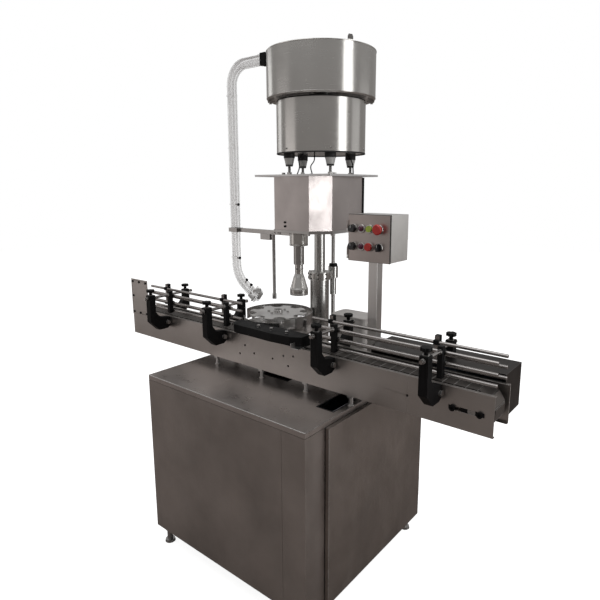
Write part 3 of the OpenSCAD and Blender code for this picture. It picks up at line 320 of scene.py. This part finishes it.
class Piece:
    """Gathers shapes given in mm, then becomes one object that rides on a body."""

    def __init__(self, name, material, body, bevel=0.4, smooth=True):
        self.name, self.material, self.body = name, material, body
        self.bevel, self.smooth = bevel, smooth
        self.bm = bmesh.new()

    def lathe(self, profile, matrix, segments=32, closed=False):
        """Turns (radius, height) points about local Z; closed joins the last point to the first."""
        rings = []
        for radius, height in profile:
            if radius < 1e-6:
                rings.append([self.bm.verts.new(matrix @ Vector((0, 0, height * MM)))])
                continue
            rings.append([
                self.bm.verts.new(matrix @ Vector((
                    radius * MM * math.cos(2 * math.pi * i / segments),
                    radius * MM * math.sin(2 * math.pi * i / segments),
                    height * MM,
                )))
                for i in range(segments)
            ])
        pairs = list(zip(rings, rings[1:]))
        if closed:
            pairs.append((rings[-1], rings[0]))
        for low, high in pairs:
            for i in range(segments):
                j = (i + 1) % segments
                corners = [low[i % len(low)], low[j % len(low)], high[j % len(high)], high[i % len(high)]]
                unique = list(dict.fromkeys(corners))
                if len(unique) > 2:
                    self.bm.faces.new(unique)
        return self

    def prism(self, outline, depth, matrix):
        """Pushes an outline of (x, y) points up by depth along local Z."""
        low = [self.bm.verts.new(matrix @ Vector((x * MM, y * MM, 0))) for x, y in outline]
        high = [self.bm.verts.new(matrix @ Vector((x * MM, y * MM, depth * MM))) for x, y in outline]
        self.bm.faces.new(low[::-1])
        self.bm.faces.new(high)
        for i in range(len(outline)):
            j = (i + 1) % len(outline)
            self.bm.faces.new([low[i], low[j], high[j], high[i]])
        return self

    def box(self, low, high):
        """A block between its lowest and highest corners."""
        width, depth = high[0] - low[0], high[1] - low[1]
        outline = [(0, 0), (width, 0), (width, depth), (0, depth)]
        return self.prism(outline, high[2] - low[2], frame_at(low))

    def hex(self, across, height, matrix):
        """A hexagon head with a chamfered top and a washer face under it."""
        corner = across / math.sqrt(3)
        outline = [
            (corner * math.cos(math.pi / 3 * i), corner * math.sin(math.pi / 3 * i)) for i in range(6)
        ]
        self.prism(outline, height, matrix @ Matrix.Translation((0, 0, 0.8 * MM)))
        return self.lathe([(0, 0), (corner, 0), (corner, 0.8), (0, 0.8)], matrix, 24)

    def socket(self, radius, height, matrix):
        """A round screw head with a hexagon socket."""
        corner = radius * 0.5
        chamfer = radius * 0.12
        profile = [
            (0, 0), (radius, 0), (radius, height - chamfer), (radius - chamfer, height),
            (corner, height), (corner * 0.9, height * 0.45), (0, height * 0.4),
        ]
        return self.lathe(profile, matrix, 24)

    def ring(self, radius, thick, matrix, segments=96, around=10):
        """A round-section ring about local Z."""
        profile = [
            (radius + thick * math.cos(2 * math.pi * i / around), thick * math.sin(2 * math.pi * i / around))
            for i in range(around)
        ]
        return self.lathe(profile, matrix, segments, closed=True)

    def tube(self, points, radius, around=10, per_span=8):
        """A round cable or wire through points in mm, smoothed between them."""
        path = smooth_path([Vector(p) for p in points], per_span)
        up = Vector((0, 0, 1))
        rings = []
        for i, p in enumerate(path):
            ahead = path[min(i + 1, len(path) - 1)] - path[max(i - 1, 0)]
            ahead.normalize()
            side = ahead.cross(up if abs(ahead.dot(up)) < 0.95 else Vector((1, 0, 0))).normalized()
            if rings:
                side = (last - ahead * last.dot(ahead)).normalized()
            last = side
            other = ahead.cross(side)
            rings.append([
                self.bm.verts.new((p + radius * (
                    side * math.cos(2 * math.pi * k / around) + other * math.sin(2 * math.pi * k / around)
                )) * MM)
                for k in range(around)
            ])
        for low, high in zip(rings, rings[1:]):
            for k in range(around):
                j = (k + 1) % around
                self.bm.faces.new([low[k], low[j], high[j], high[k]])
        self.bm.faces.new(rings[0][::-1])
        self.bm.faces.new(rings[-1])
        return self

    def done(self):
        """Makes the object, gives it its material and sets it on its body."""
        bmesh.ops.recalc_face_normals(self.bm, faces=self.bm.faces)
        mesh = bpy.data.meshes.new(self.name)
        self.bm.to_mesh(mesh)
        self.bm.free()
        obj = bpy.data.objects.new(self.name, mesh)
        bpy.context.scene.collection.objects.link(obj)
        mesh.materials.append(self.material)
        if self.smooth:
            mesh.shade_smooth()
            mesh.set_sharp_from_angle(angle=math.radians(35))
        if self.bevel:
            soften(obj, self.bevel)
        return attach(obj, self.body)


def soften(obj, width):
    """Rounds the sharp edges of obj by width mm."""
    bevel = obj.modifiers.new("soften", "BEVEL")
    bevel.width = width * MM
    bevel.segments = 2
    bevel.limit_method = "ANGLE"
    bevel.angle_limit = math.radians(40)
    bevel.harden_normals = False


def smooth_path(points, per_span):
    """Catmull-Rom points through the given ones."""
    padded = [points[0] * 2 - points[1]] + points + [points[-1] * 2 - points[-2]]
    path = []
    for a, b, c, d in zip(padded, padded[1:], padded[2:], padded[3:]):
        for step in range(per_span):
            t = step / per_span
            path.append(0.5 * (
                2 * b + (c - a) * t + (2 * a - 5 * b + 4 * c - d) * t * t
                + (3 * b - a - 3 * c + d) * t * t * t
            ))
    path.append(points[-1])
    return path


def polar(center, radius, degrees, height):
    """The point at radius mm and an angle from an upright axis, at a height."""
    angle = math.radians(degrees)
    return (center[0] + radius * math.cos(angle), center[1] + radius * math.sin(angle), height)


# ---------- bowl and drum ----------

BOWL = (50, 160)
BOWL_R, DRUM_R = 218, 180
RIM_Z, BOWL_Z, DRUM_TOP, DRUM_Z = 2056, 1874, 1866, 1667


def bowl_details():
    rim = Piece("bowl_rim_bead", SPUN, "feeder_bowl", bevel=0)
    rim.ring(BOWL_R - 1.2, 2.6, frame_at((*BOWL, RIM_Z - 2.4)), 128)
    rim.ring(BOWL_R - 0.4, 1.0, frame_at((*BOWL, BOWL_Z + 6)), 128)
    rim.done()
    seam = Piece("bowl_wall_seam", TURNED, "feeder_bowl", bevel=0)
    seam.tube([polar(BOWL, BOWL_R, 118, BOWL_Z + 8), polar(BOWL, BOWL_R, 118, RIM_Z - 6)], 0.9)
    seam.done()
    # clamps that hold the bowl down on its spring plate
    clamps = Piece("bowl_clamps", TURNED, "feeder_bowl", bevel=0.6)
    for degrees in (38, 128, 218):
        turn = Matrix.Rotation(math.radians(degrees), 4, "Z")
        base = frame_at((*BOWL, BOWL_Z)) @ turn
        outline = [(186, -12), (214, -12), (214, 12), (186, 12)]
        clamps.prism(outline, 5, base @ Matrix.Translation((0, 0, -5.5 * MM)))
        clamps.hex(10, 6, base @ Matrix.Translation((0.204, 0, -5 * MM)) @ Matrix.Rotation(math.pi, 4, "X"))
    clamps.done()
    gasket = Piece("drum_gaskets", RUBBER, "head", bevel=0)
    gasket.lathe([(DRUM_R - 4, 0), (DRUM_R + 0.8, 0), (DRUM_R + 0.8, 5), (DRUM_R - 4, 5)],
                 frame_at((*BOWL, DRUM_Z - 3)), 96, closed=True)
    gasket.lathe([(DRUM_R - 8, 0), (DRUM_R - 2, 0), (DRUM_R - 2, 5), (DRUM_R - 8, 5)],
                 frame_at((*BOWL, DRUM_TOP)), 96, closed=True)
    gasket.done()
    seam = Piece("drum_seam_and_screws", TURNED, "head", bevel=0)
    seam.tube([polar(BOWL, DRUM_R, 140, DRUM_Z + 3), polar(BOWL, DRUM_R, 140, DRUM_TOP - 3)], 0.8)
    for degrees in range(20, 380, 60):
        seam.socket(4, 2.4, radial_frame(BOWL, DRUM_Z + 14, DRUM_R, degrees))
    seam.done()


FOOT_R = 148
FOOT_ANGLES = (250, 322, 70, 160)


def bowl_foot_details():
    """Light cups under the rubber blocks, on studs with nuts."""
    cups = Piece("bowl_foot_cups", CUP, "head", bevel=0.3)
    studs = Piece("bowl_foot_studs", TURNED, "head", bevel=0.2)
    for degrees in FOOT_ANGLES:
        x, y, _ = polar(BOWL, FOOT_R, degrees, 0)
        cups.lathe([(0, 0), (13.5, 0), (20.6, 31), (20.6, 34), (0, 34)], frame_at((x, y, DRUM_Z - 53)), 40)
        studs.hex(18, 8, frame_at((x, y, 1583)))
        for turn_z in range(1594, 1612, 2):
            studs.ring(5.2, 0.7, frame_at((x, y, turn_z)), 20, 6)
    cups.done()
    studs.done()
    wires = Piece("feeder_wires", BLACK, "head", bevel=0)
    wires.tube([(40, 60, 1668), (30, 45, 1640), (44, 30, 1610), (38, 24, 1584)], 2.2)
    wires.tube([(96, 60, 1668), (104, 48, 1636), (98, 34, 1612), (108, 30, 1584)], 2.2)
    wires.tube([(150, 200, 1668), (168, 215, 1630), (160, 235, 1584)], 2.6)
    wires.done()


# ---------- chute ----------

CHUTE_X, CHUTE_Y, CHUTE_T, CHUTE_W, CHUTE_TOP = -362, 60, 38, 20, 2045
CHUTE_LOW_Z, CHUTE_LOW_R, CHUTE_TURN = 1190, 110, 55


# (radius, height) points of the thumb screws' shanks
SHANK = [(0, 0), (2.5, 0), (2.5, 14), (0, 14)]


def run_frame():
    """The chute's last straight run: X down the run, Z away from its back."""
    turn = math.radians(CHUTE_TURN)
    x = CHUTE_X + CHUTE_LOW_R * (1 - math.cos(turn))
    z = CHUTE_LOW_Z - CHUTE_LOW_R * math.sin(turn)
    return frame_at((x, CHUTE_Y, z)) @ Matrix.Rotation(math.pi / 2 - turn, 4, "Y")


def chute_details():
    boot = Piece("chute_boot", BLACK, "head", bevel=1.2)
    half_w, half_t = CHUTE_W / 2 + 6.5, CHUTE_T / 2 + 5
    outer = [(-half_w, -half_t), (half_w, -half_t), (half_w, half_t), (-half_w, half_t)]
    boot.prism(outer, 30, frame_at((-177, CHUTE_Y, CHUTE_TOP), "X"))
    boot.done()
    knobs = Piece("chute_thumb_screws", BLACK, "head", bevel=0.3)
    shanks = Piece("chute_thumb_shanks", TURNED, "head", bevel=0)
    for z in (1217, 1457):
        start = CHUTE_X + CHUTE_T / 2 - 2
        shanks.lathe(SHANK, frame_at((start, CHUTE_Y - 12, z), "X"), 16)
        knobs.lathe([(0, 0), (5, 0.5), (6, 2), (6, 7), (4.5, 8.5), (0, 8.5)],
                    frame_at((start + 13, CHUTE_Y - 12, z), "X"), 24)
    run = run_frame()
    for along in (12, 46):
        start = run @ Matrix.Translation((along * MM, -12 * MM, 17 * MM))
        shanks.lathe(SHANK, start, 16)
        knobs.lathe([(0, 13), (5, 13.5), (6.5, 15), (6.5, 20), (5, 21.5), (0, 21.5)], start, 24)
    knobs.done()
    shanks.done()
    stop = Piece("chute_tip_stop", TURNED, "head", bevel=0.5)
    stop.prism([(52, -6), (84, -6), (84, 6), (52, 6)], 6, run @ Matrix.Translation((0, 0, -27 * MM)))
    stop.prism([(80, -6), (84, -6), (84, 6), (80, 6)], 14, run @ Matrix.Translation((0, 0, -35 * MM)))
    for side in (-1, 1):
        for along in (68, 96):
            out = frame_at((0, 0, 0), "-Y" if side < 0 else "Y")
            place = run @ Matrix.Translation((along * MM, side * 17 * MM, 6 * MM))
            stop.hex(8, 4, place @ out)
    stop.done()


# ---------- head ----------


HEAD_FLOOR, PLATE_TOP = 1352, 1583


def head_details():
    screws = Piece("head_cover_screws", BLACK, "head", bevel=0)
    for z in (1378, 1394):
        screws.socket(4.5, 4, frame_at((-8, 0, z), "-Y"))
    for y in (60, 250):
        for z in (1376, 1560):
            screws.socket(3.5, 2.5, frame_at((-65, y, z), "-X"))
    screws.done()
    nubs = Piece("head_flange_nuts", BRIGHT_Z, "head", bevel=0.3)
    for x, y in ((112, 3), (177, 68), (-58, 8), (172, 268), (-58, 268)):
        nubs.hex(11, 6, frame_at((x, y, HEAD_FLOOR), "-Z"))
    nubs.done()
    flange = Piece("head_cover_hem", HEAD, "head", bevel=0.2)
    flange.prism(cover_outline(-3.0), 2, frame_at((0, 0, HEAD_FLOOR + 10)))
    flange.done()
    strip = Piece("head_cover_edge_strip", BLACK, "head", bevel=0.8)
    strip.box((172, 275.2, 1364), (184, 283, 1572))
    strip.done()
    bolts = Piece("head_plate_bolts", TURNED, "head", bevel=0.2)
    for x, y in ((-40, 30), (60, 30), (150, 120), (150, 240), (-40, 210)):
        bolts.hex(13, 7, frame_at((x, y, PLATE_TOP)))
    bolts.done()


def cover_outline(e):
    """The head cover's plan, e mm inside its outer face."""
    x0, x1, y0, y1, c = -65, 180, 0, 275, 64
    return [
        (x0 + e, y0 + e), (x1 - c - e * 0.4, y0 + e), (x1 - e, y0 + c + e * 0.4), (x1 - e, y1 - e),
        (x0 + e, y1 - e),
    ]


SPINDLE = (13, 60)


def chuck_details():
    grips = Piece("chuck_grip_rings", TURNED, "chuck", bevel=0)
    for z in (1094, 1098, 1112, 1116):
        grips.ring(37.7, 0.7, frame_at((*SPINDLE, z)), 64, 6)
    for z in (1168, 1176):
        grips.ring(22.2 - (z - 1168) * 0.43, 0.7, frame_at((*SPINDLE, z)), 48, 6)
    grips.done()
    screws = Piece("chuck_set_screws", BLACK, "chuck", bevel=0)
    for degrees in (-80, 40, 160):
        screws.socket(3, 1.6, radial_frame(SPINDLE, 1200, 16.5, degrees))
    screws.done()
    rings = Piece("spindle_housing_bands", SPUN, "head", bevel=0)
    for z, r in ((1299, 38), (1303, 38), (1346, 38)):
        rings.ring(r, 1.1, frame_at((*SPINDLE, z)), 64, 8)
    rings.done()


# ---------- column ----------

COLUMN = (-15, 236)
LIFT = (4.93, 310.38)


def column_details():
    collar = Piece("column_collar", SPUN, "base", bevel=0)
    collar.lathe([(42.2, 0), (50.6, 0), (50.6, 3), (49.8, 4), (50.6, 5), (50.6, 31), (48, 34.6), (25, 34.6),
                  (25, 33.8), (42.2, 30)], frame_at((*COLUMN, 1129)), 64, closed=True)
    collar.done()
    nut = Piece("lift_nut_cover", BLACK, "base", bevel=0.6)
    nut.lathe([(9, 0), (19, 0), (19, 10), (17, 13), (9, 13)], frame_at((*LIFT, 1180)), 12, closed=True)
    nut.done()
    screws = Piece("column_clamp_screws", BLACK, "base", bevel=0)
    for degrees in (-140, -100, -60, -20):
        for z in (1137, 1155):
            screws.socket(3.4, 2.6, radial_frame(COLUMN, z, 50.5, degrees))
    screws.done()
    threads = Piece("lift_screw_thread", TURNED, "lift_spindle", bevel=0)
    threads.lathe(thread_profile(8.5, 882, 1350, 5), frame_at((*LIFT, 0)), 24)
    threads.done()


def thread_profile(radius, z0, z1, pitch):
    """A stack of rounded ridges just inside the screw's own radius."""
    profile = [(0, z0)]
    z = z0
    while z < z1:
        profile += [(radius - 1.2, z), (radius + 0.02, z + pitch * 0.4), (radius + 0.02, z + pitch * 0.6)]
        z += pitch
    return profile + [(0, z)]


# ---------- conveyor ----------

RAIL_ZS = (960, 995, 1030)
# the height of the cross rods and the distance to their outer nuts, by side of the conveyor
ROD_Z = {-1: 1036, 1: 998}
ROD_REACH = {-1: 133, 1: 148}


def rail_details():
    """Black clips that hold the three rods, on each set of rails."""
    sets = (
        ("front_infeed", "rail_infeed_front", -110, -1, (-630, -240)),
        ("rear_infeed", "rail_infeed_rear", -26, 1, (-790, -370)),
        ("front_outfeed", "rail_outfeed_front", -110, -1, (330, 740)),
        ("rear_outfeed", "rail_outfeed_rear", -26, 1, (245, 680)),
    )
    for name, body, y, side, xs in sets:
        clip = Piece("clips_" + name, BLACK, body, bevel=1.0)
        for x in xs:
            near, far = sorted((y + side * 3, y + side * 20.8))
            clip.box((x - 8.8, near, 949.2), (x + 8.8, far, 1052.8))
            for z in RAIL_ZS:
                low, high = sorted((y - side * 7.5, y + side * 6))
                clip.box((x - 10, low, z - 8), (x + 10, high, z + 8))
        clip.done()
        nuts = Piece("rod_nuts_" + name, TURNED, body, bevel=0.2)
        outward = "Y" if side > 0 else "-Y"
        for x in xs:
            nuts.hex(14, 7, frame_at((x, y + side * 20.8, ROD_Z[side]), outward))
            nuts.hex(14, 6, frame_at((x, y + side * ROD_REACH[side], ROD_Z[side]), outward))
        nuts.done()


SHAFT_X, SHAFT_Z, LOOP_R, SLATS = 850, 870, 64, 100


def chain_details():
    """Hinge pins between the slats, their ends just proud of the slats' sides."""
    mid = LOOP_R - 1.5
    length = 4 * SHAFT_X + 2 * math.pi * mid
    pins = Piece("slat_hinge_pins", TURNED, "base", bevel=0)
    for i in range(SLATS):
        x, z = loop_point(i * length / SLATS, mid)
        pins.lathe([(0, 0), (1.9, 0), (1.9, 85), (0, 85)], frame_at((x, -110.5, z - 0.8), "Y"), 8)
    pins.done()


def loop_point(s, mid):
    """X and Z at distance s along the chain's loop."""
    straight, arc = 2 * SHAFT_X, math.pi * mid
    if s < straight:
        return -SHAFT_X + s, SHAFT_Z + mid
    if s < straight + arc:
        a = (s - straight) / mid
        return SHAFT_X + mid * math.sin(a), SHAFT_Z + mid * math.cos(a)
    if s < 2 * straight + arc:
        return SHAFT_X - (s - straight - arc), SHAFT_Z - mid
    a = (s - 2 * straight - arc) / mid
    return -SHAFT_X - mid * math.sin(a), SHAFT_Z - mid * math.cos(a)


def conveyor_details():
    bolts = Piece("conveyor_bolts", TURNED, "base", bevel=0.2)
    for x in (-700, -100, 560):
        bolts.hex(10, 4, frame_at((x, 0, 850), "Y"))
    bolts.done()
    screws = Piece("infeed_guard_screws", BLACK, "base", bevel=0)
    for x in (-906, -852, -799):
        for z in (918, 1072):
            screws.socket(5.6, 4.2, frame_at((x, -138.5, z), "-Y"))
    screws.socket(5.6, 4.2, frame_at((-906, -138.5, 1000), "-Y"))
    screws.done()


# ---------- brackets ----------

FRONT_BRACKETS = (-630, -240, 330, 740)
REAR_BRACKETS = (-790, -370, 245)
STAND_X = 680
COLLAR = [(7.2, 0), (12, 0), (12, 1.6), (7.2, 1.6)]


def bracket_details():
    """Hexagon nuts on every bracket, and a collar under each knob."""
    nuts = Piece("bracket_nuts", TURNED, "base", bevel=0.2)
    for x in FRONT_BRACKETS:
        nuts.hex(17, 8, frame_at((x + 15, -150, 912), "X"))
    for x in REAR_BRACKETS:
        nuts.hex(17, 8, frame_at((x + 15, 14, 912), "X"))
    nuts.done()
    washers = Piece("bracket_knob_collars", TURNED, "base", bevel=0)
    for x in FRONT_BRACKETS:
        washers.lathe(COLLAR, frame_at((x, -225, 1050)), 28, closed=True)
    for x in REAR_BRACKETS + (STAND_X,):
        washers.lathe(COLLAR, frame_at((x, 89, 1012)), 28, closed=True)
    washers.done()


# ---------- star wheel ----------

STAR = (-107, 60)


def star_details():
    bolts = Piece("star_hub_bolts", TURNED, "star", bevel=0.2)
    for i in range(6):
        x, y, _ = polar(STAR, 42, 30 + 60 * i, 0)
        bolts.hex(10, 5, frame_at((x, y, 997)))
    bolts.lathe([(10.2, 0), (19.6, 0), (20.6, 1), (20.6, 9), (18, 12.4), (10.2, 12.4)],
                frame_at((*STAR, 996.6)), 12, closed=True)
    bolts.done()
    rods = Piece("star_guide_bolts", BRIGHT, "base", bevel=0.3)
    for x in (-40, 30, 110):
        rods.hex(13, 8, frame_at((x, -130, 982)))
    rods.done()
    liner = Piece("star_guide_liner", BRIGHT, "base", bevel=0)
    inner, outer, steps = 146.2, 149.2, 40
    arc = [math.radians(-138 + 92 * i / steps) for i in range(steps + 1)]
    edge = [(outer * math.cos(a), outer * math.sin(a)) for a in arc]
    edge += [(inner * math.cos(a), inner * math.sin(a)) for a in reversed(arc)]
    liner.prism(edge, 36, frame_at((*STAR, 949)))
    liner.done()
    clip = Piece("star_guide_bracket", BRIGHT, "base", bevel=0.6)
    clip.box((168, -176, 944), (206, -140, 947))
    clip.box((168, -176, 947), (171, -150, 962))
    clip.done()


# ---------- control box ----------

BOX_X, FACE_Y = 394, -7
KNOB_X, ROW_Z = (-64, -29, 5, 46), (1324, 1388)
# X and Y of the two cables that drop behind the post
CABLES = ((350, 91), (368, 100))
CABLE_END = 780


def panel_details():
    """Bezels, pointers and lamp domes on the control box's door."""
    bezels = Piece("panel_bezels", BRIGHT, "panel_door", bevel=0)
    for x in KNOB_X:
        for z in ROW_Z:
            bezels.lathe([(11.3, 3.6), (11.3, 5), (14.4, 5), (15.8, 3), (15.8, 0), (14, 0)],
                         frame_at((BOX_X + x, FACE_Y, z), "-Y"), 40, closed=True)
    bezels.done()
    marks = (("speed_dial", 0, 1), ("torque_dial", 0, 0), ("mode_switch", 3, 0))
    for body, column, row in marks:
        mark = Piece("pointer_" + body, WHITE, body, bevel=0.1)
        x, z = BOX_X + KNOB_X[column], ROW_Z[row]
        reach = 27 if body != "mode_switch" else 27.2
        depth = FACE_Y - 4 - (17.6 if body != "mode_switch" else 16.0)
        mark.box((x - 0.9, depth - 0.5, z + 1), (x + 0.9, depth, z + reach - 16))
        mark.done()
    lenses = Piece("lamp_domes", LAMP, "panel_door", bevel=0)
    for z in ROW_Z:
        dome = [(9.2 * math.cos(a * math.pi / 16), 6 + 3.2 * math.sin(a * math.pi / 16)) for a in range(8)]
        lenses.lathe([(0, 5.5), (9.2, 5.5)] + dome + [(0, 9.2)],
                     frame_at((BOX_X + KNOB_X[1], FACE_Y - 4, z), "-Y"), 32)
    lenses.done()


def control_box_details():
    """The gasket round the box's opening, and the cables that leave its floor."""
    trim = Piece("control_box_gasket", RUBBER, "base", bevel=0.3)
    left, right, low, high = 307.5, 480.5, 1270, 1437
    trim.box((left - 1.5, -3.9, low - 1.5), (left, 2, high + 1.5))
    trim.box((right, -3.9, low - 1.5), (right + 1.5, 2, high + 1.5))
    trim.box((left, -3.9, low - 1.5), (right, 2, low))
    trim.box((left, -3.9, high), (right, 2, high + 1.5))
    trim.done()
    gland = Piece("control_box_glands", BLACK, "base", bevel=0.3)
    conduit = Piece("control_box_cables", BLACK, "base", bevel=0)
    for x, y in CABLES:
        gland.lathe([(0, 0), (9, 0), (9, 7), (7, 8), (7, 16), (0, 16)], frame_at((x, y, low), "-Z"), 12)
        conduit.tube([(x, y, low - 12), (x, y + 1, 1150), (x, y - 1, 950), (x, y, CABLE_END)], 4.5)
    gland.done()
    conduit.done()


# ---------- cabinet ----------


def cabinet_edges():
    """The polished bends along the top sheet's edges and the door's upright ones."""
    top = Piece("cabinet_top_bends", BRIGHT_Z, "base", bevel=0)
    near, right, left, far, high = -394.6, 418.6, -418.6, 394.6, 768.6
    for start, end in (((left, near), (right, near)), ((right, near), (right, far))):
        top.tube([(*start, high), (*end, high)], 1.7, 12, 1)
    top.done()
    door = Piece("side_door_bends", BRIGHT_Z, "service_door", bevel=0)
    for y in (-289.4, 379.4):
        door.tube([(434.6, y, 82), (434.6, y, 747)], 1.9, 12, 1)
    door.done()


def cabinet_details():
    bolts = Piece("column_flange_bolts", TURNED, "base", bevel=0.2)
    for degrees in (45, 135, 225, 315):
        x, y, _ = polar(COLUMN, 60, degrees, 0)
        bolts.hex(14, 8, frame_at((x, y, 783.5)))
    bolts.done()
    trims = Piece("opening_edge_trims", RUBBER, "base", bevel=0.4)
    low, high, half = 769, 771.4, 1.5
    for x0, x1, y0, y1 in ((322, 396, -214, -20), (-80, 80, -96, -36)):
        for x in (x0, x1):
            trims.box((x - half, y0 - half, low), (x + half, y1 + half, high))
        for y in (y0, y1):
            trims.box((x0 + half, y - half, low), (x1 - half, y + half, high))
    trims.done()


SHARP_NODES = (
    "rail_brackets", "guide_front", "control_box", "control_door", "control_post", "junction_box",
    "cabinet_top", "drive_cover", "infeed_guard", "chute_arm", "cap_release", "head_plate", "head_base",
    "bracket_knobs", "shaft_bearings", "side_plate_front", "side_plate_rear", "emergency_stop",
    "stop_button", "start_button", "mode_selector", "bowl_feet",
)


def soften_cad_nodes():
    """Small rounds on sharp CAD edges, as modifiers that leave the meshes themselves alone."""
    for name in SHARP_NODES:
        weld = NODES[name].modifiers.new("weld", "WELD")
        weld.merge_threshold = 0.00002
        soften(NODES[name], 2.0 if name == "rail_brackets" else 0.8)


bowl_details()
bowl_foot_details()
chute_details()
head_details()
chuck_details()
column_details()
rail_details()
chain_details()
conveyor_details()
bracket_details()
star_details()
panel_details()
control_box_details()
cabinet_details()
cabinet_edges()
soften_cad_nodes()


# ---------- floor, light and camera ----------


def make_floor():
    """A floor that looks pale to the camera and darker in the steel's reflections."""
    mesh = bpy.data.meshes.new("floor")
    bm = bmesh.new()
    bmesh.ops.create_grid(bm, x_segments=1, y_segments=1, size=12.0)
    bm.to_mesh(mesh)
    bm.free()
    floor = bpy.data.objects.new("floor", mesh)
    bpy.context.scene.collection.objects.link(floor)
    g = Graph("floor")
    seen = g.add("LightPath").outputs["Is Camera Ray"]
    pale = g.add("BsdfDiffuse", {"Color": rgb(0.80, 0.80, 0.80)}).outputs[0]
    glow = g.add("Emission", {"Color": rgb(1, 1, 1), "Strength": 0.85}).outputs[0]
    lit = g.add("AddShader", {0: pale, 1: glow}).outputs[0]
    dull = g.add("BsdfDiffuse", {"Color": rgb(0.27, 0.238, 0.222)}).outputs[0]
    floor.data.materials.append(
        g.surface(g.add("MixShader", {0: seen, 1: dull, 2: lit}).outputs[0])
    )


def make_world():
    """White to the camera; a brown-grey room, brighter overhead, in the reflections."""
    world = bpy.data.worlds.new("studio")
    bpy.context.scene.world = world
    world.use_nodes = True
    tree = world.node_tree
    tree.nodes.clear()
    add, link = tree.nodes.new, tree.links.new
    coord = add("ShaderNodeTexCoord")
    split = add("ShaderNodeSeparateXYZ")
    ramp = add("ShaderNodeValToRGB")
    shift = add("ShaderNodeMapRange")
    shift.inputs[1].default_value = -1.0
    link(coord.outputs["Generated"], split.inputs[0])
    link(split.outputs["Z"], shift.inputs[0])
    link(shift.outputs[0], ramp.inputs[0])
    stops = [(0.0, (0.17, 0.15, 0.14)), (0.47, (0.25, 0.228, 0.215)), (0.53, (0.30, 0.285, 0.275)),
             (0.70, (0.40, 0.395, 0.39)), (1.0, (0.62, 0.62, 0.62))]
    while len(ramp.color_ramp.elements) < len(stops):
        ramp.color_ramp.elements.new(0.5)
    for element, (position, color) in zip(ramp.color_ramp.elements, stops):
        element.position = position
        element.color = rgb(*color)
    room = add("ShaderNodeBackground")
    room.inputs["Strength"].default_value = 0.9
    link(ramp.outputs[0], room.inputs[0])
    white = add("ShaderNodeBackground")
    white.inputs[0].default_value = rgb(1, 1, 1)
    path = add("ShaderNodeLightPath")
    mix = add("ShaderNodeMixShader")
    link(path.outputs["Is Camera Ray"], mix.inputs[0])
    link(room.outputs[0], mix.inputs[1])
    link(white.outputs[0], mix.inputs[2])
    link(mix.outputs[0], add("ShaderNodeOutputWorld").inputs[0])


def softbox(name, location, target, size, power, color=(1, 1, 1), only=()):
    """A rectangular lamp aimed at target; only names the nodes it lights, or is empty for all."""
    light = bpy.data.lights.new(name, "AREA")
    light.shape = "RECTANGLE"
    light.size, light.size_y = size
    light.energy = power
    light.color = color
    lamp = bpy.data.objects.new(name, light)
    lamp.location = location
    aim = Vector(target) - Vector(location)
    lamp.rotation_euler = aim.to_track_quat("-Z", "Y").to_euler()
    lamp.visible_camera = False
    bpy.context.scene.collection.objects.link(lamp)
    if only:
        receivers = bpy.data.collections.new(name + "_receivers")
        for node_name in only:
            receivers.objects.link(NODES[node_name])
        lamp.light_linking.receiver_collection = receivers


def make_camera():
    """The photograph's own viewpoint: right of centre, at chest height, looking slightly down."""
    yaw, pitch = math.radians(38.37), math.radians(-10.44)
    camera = bpy.data.cameras.new("camera")
    camera.sensor_width = 36.0
    camera.lens = 31.05
    camera.shift_x = -0.0263
    camera.shift_y = -0.0303
    view = bpy.data.objects.new("camera", camera)
    view.matrix_world = (
        Matrix.Translation((1.388, -1.564, 1.536))
        @ Matrix.Rotation(yaw, 4, "Z")
        @ Matrix.Rotation(math.pi / 2 + pitch, 4, "X")
    )
    bpy.context.scene.collection.objects.link(view)
    bpy.context.scene.camera = view


make_floor()
make_world()
softbox("strip", (3.1, 0.3, 1.9), (0.05, 0.16, 1.8), (1.1, 2.4), 19.5)
softbox("low_strip", (3.1, 0.42, 0.35), (-0.015, 0.236, 0.9), (1.1, 1.1), 9)
softbox("chamfer_glow", (1.72, -1.24, 1.40), (0.148, 0.032, 1.47), (0.55, 0.50), 6.5,
        only=("head_cover",))
softbox("left_fill", (-2.8, -2.6, 1.25), (0, 0, 1.2), (2.4, 2.2), 9, (1.0, 0.95, 0.93))
softbox("ceiling", (-0.3, -0.6, 4.2), (0, 0, 0.9), (3.0, 3.0), 36)
softbox("left_glow", (-3.2, 0.3, 1.8), (0.05, 0.16, 1.8), (1.2, 2.0), 6)
softbox("back_right", (1.9, 2.0, 1.7), (0.48, 0.06, 1.35), (1.4, 1.2), 1.9)
make_camera()
bpy.context.scene.view_settings.view_transform = "Standard"
